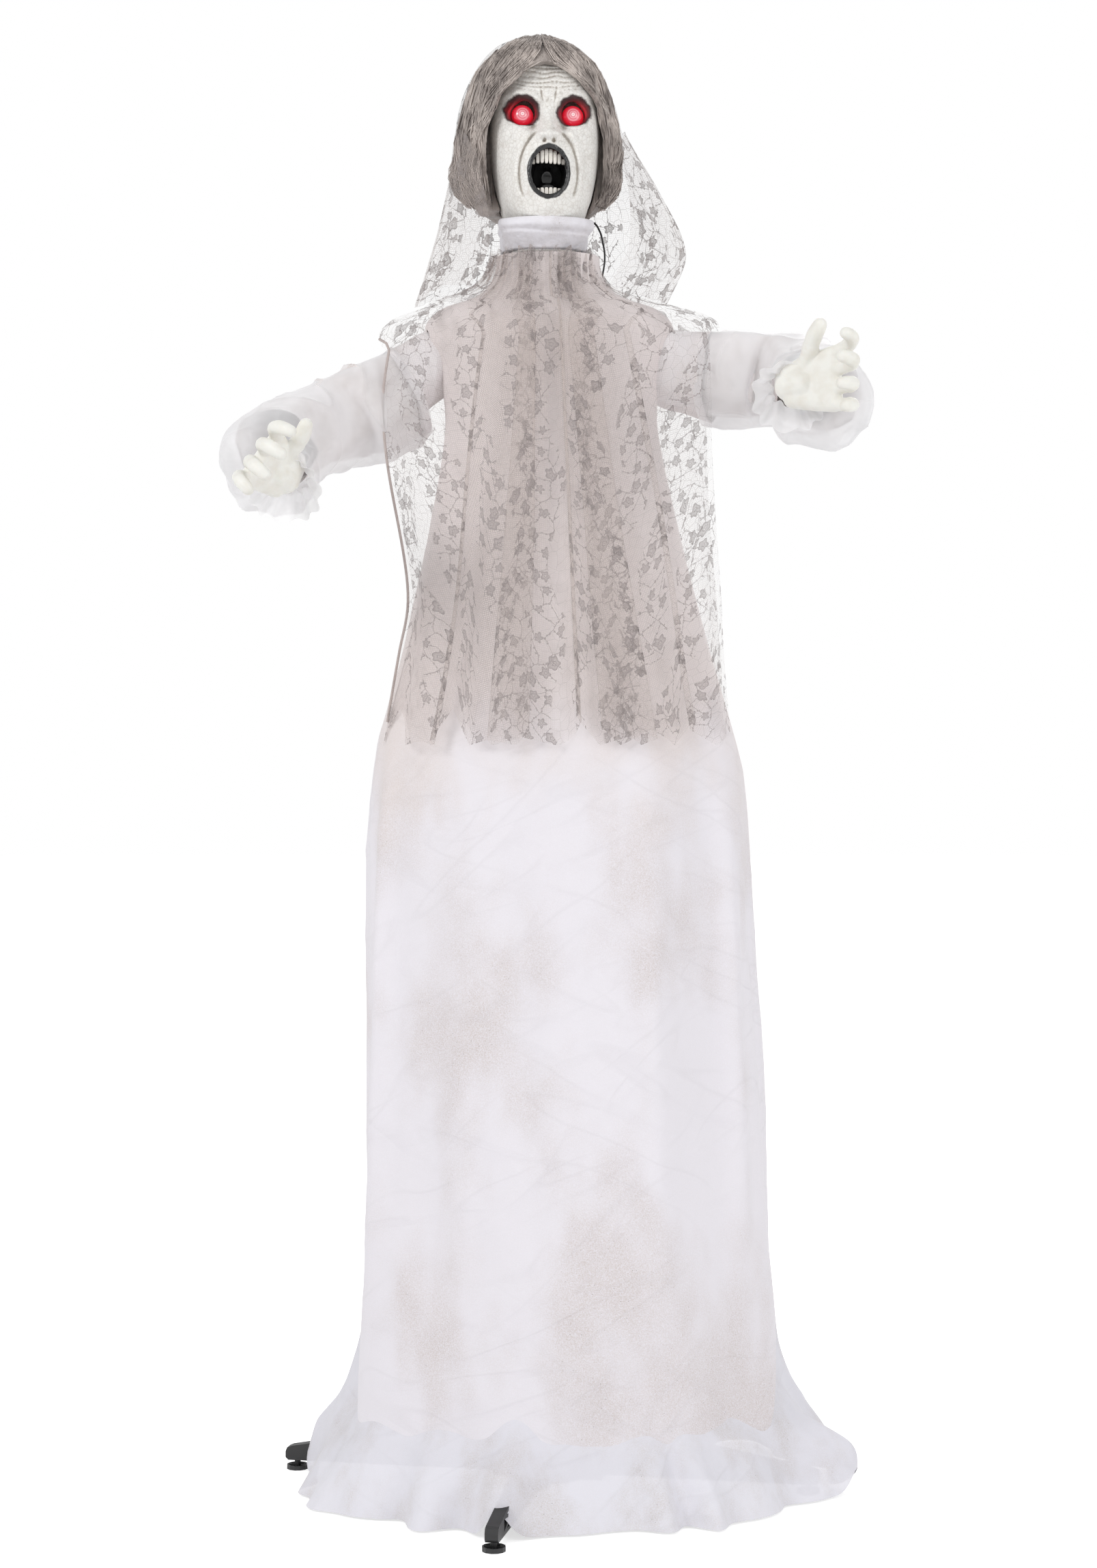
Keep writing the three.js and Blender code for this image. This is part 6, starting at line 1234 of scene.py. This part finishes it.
# Head lead: two PVC-covered cores side by side, from the head down into the chest box
lead = {
    "x": 46, "bow": 28, "y": 20, "endY": 3, "top": 1600, "bottom": 1470.8, "core": 1.1,
    # share of the bow, share of the way back, share of the way down
    "route": [(-0.28, 1, 0), (0, 1, 0), (0.46, 0.88, 0.008), (0.71, 0.65, 0.085), (0.86, 0.35, 0.217),
              (0.93, 0.06, 0.364), (0.86, 0, 0.503), (0.68, 0, 0.666),
              (0.43, 0, 0.844), (0.18, 0, 0.944), (0.14, 0, 1)],
}
curve = newCurve("head_lead_cores", lead["core"] / 1000, sides=3)
curve.resolution_u = 6
curve.use_fill_caps = True
for side in (-1, 1):
    spline = curve.splines.new("BEZIER")
    spline.bezier_points.add(len(lead["route"]) - 1)
    for knot, (out, back, down) in zip(spline.bezier_points, lead["route"]):
        knot.co = headTurned @ (Vector((lead["x"] + out * lead["bow"], lead["endY"] + back * (lead["y"] - lead["endY"])
                                        + side * lead["core"], mix(lead["top"], lead["bottom"], down))) / 1000)
        knot.handle_left_type = knot.handle_right_type = "AUTO"
leadPiece = linkCurve(curve, "lead_twin", mouldedAbs("leadPvc", "#141414", grain=1.5, roughness=0.35))
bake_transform(leadPiece)
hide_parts("head_lead")
print("lead")


# Floor, light and camera
def seenRays(add):  # 1 for rays from the camera, and for those off a gloss or through a sheer cloth
    path = add("LightPath")
    seen = path.outputs["Is Camera Ray"]
    for ray in ("Is Glossy Ray", "Is Transmission Ray"):
        seen = add("Math", {0: seen, 1: path.outputs[ray]}, operation="MAXIMUM")
    return seen


stage = {"floor": 30, "camera": (0, -3.52, 0.883), "lens": 63.72, "floorGlow": 0.62, "skyLevel": 0.60}
form = bmesh.new()
bmesh.ops.create_grid(form, x_segments=2, y_segments=2, size=stage["floor"])
bmesh.ops.translate(form, verts=form.verts, vec=(0, 0, -0.0003))
floorFinish, add, shader, _ = newFinish("paperFloor", {"Base Color": "#f4f4f4", "Roughness": 0.9})
glow = add("Emission", {"Color": (1, 1, 1, 1), "Strength": stage["floorGlow"]})
lit = add("AddShader", {0: shader, 1: glow})
both = add("MixShader", {0: seenRays(add), 1: shader, 2: lit})
plug(floorFinish.node_tree.nodes["Material Output"], {"Surface": both})
floor = linkMesh(form, "floor", floorFinish)

world = bpy.data.worlds.new("studio")
world.use_nodes = True
bpy.context.scene.world = world
world.node_tree.nodes.clear()
add = functools.partial(addNode, world.node_tree)
level = add("MapRange", {0: seenRays(add), 3: stage["skyLevel"], 4: 1})
back = add("Background", {"Color": (1, 1, 1, 1), "Strength": level})
add("OutputWorld", {"Surface": back})

lamps = {
    "key": {"at": (-3.0, -2.6, 3.1), "aim": (0, 0, 1.0), "size": 1.4, "power": 60},
    "fill": {"at": (2.6, -2.4, 1.8), "aim": (0, 0, 0.9), "size": 2.2, "power": 32},
    "rim": {"at": (0.8, 2.8, 2.8), "aim": (0, 0, 1.2), "size": 1.6, "power": 26},
}
for name, lamp in lamps.items():
    light = bpy.data.lights.new(name, "AREA")
    light.shape = "DISK"
    light.size = lamp["size"]
    light.energy = lamp["power"]
    holder = bpy.data.objects.new(name, light)
    holder.location = lamp["at"]
    aim = Vector(lamp["aim"]) - Vector(lamp["at"])
    holder.rotation_euler = aim.to_track_quat("-Z", "Y").to_euler()
    bpy.context.scene.collection.objects.link(holder)

cameraData = bpy.data.cameras.new("photo")
cameraData.lens = stage["lens"]
cameraData.sensor_width = 36
cameraData.sensor_fit = "AUTO"
cameraData.clip_end = 100
camera = bpy.data.objects.new("photo", cameraData)
camera.location = stage["camera"]
camera.rotation_euler = (math.pi / 2, 0, 0)
bpy.context.scene.collection.objects.link(camera)
bpy.context.scene.camera = camera
bpy.context.scene.view_settings.view_transform = "Standard"
print("stage")
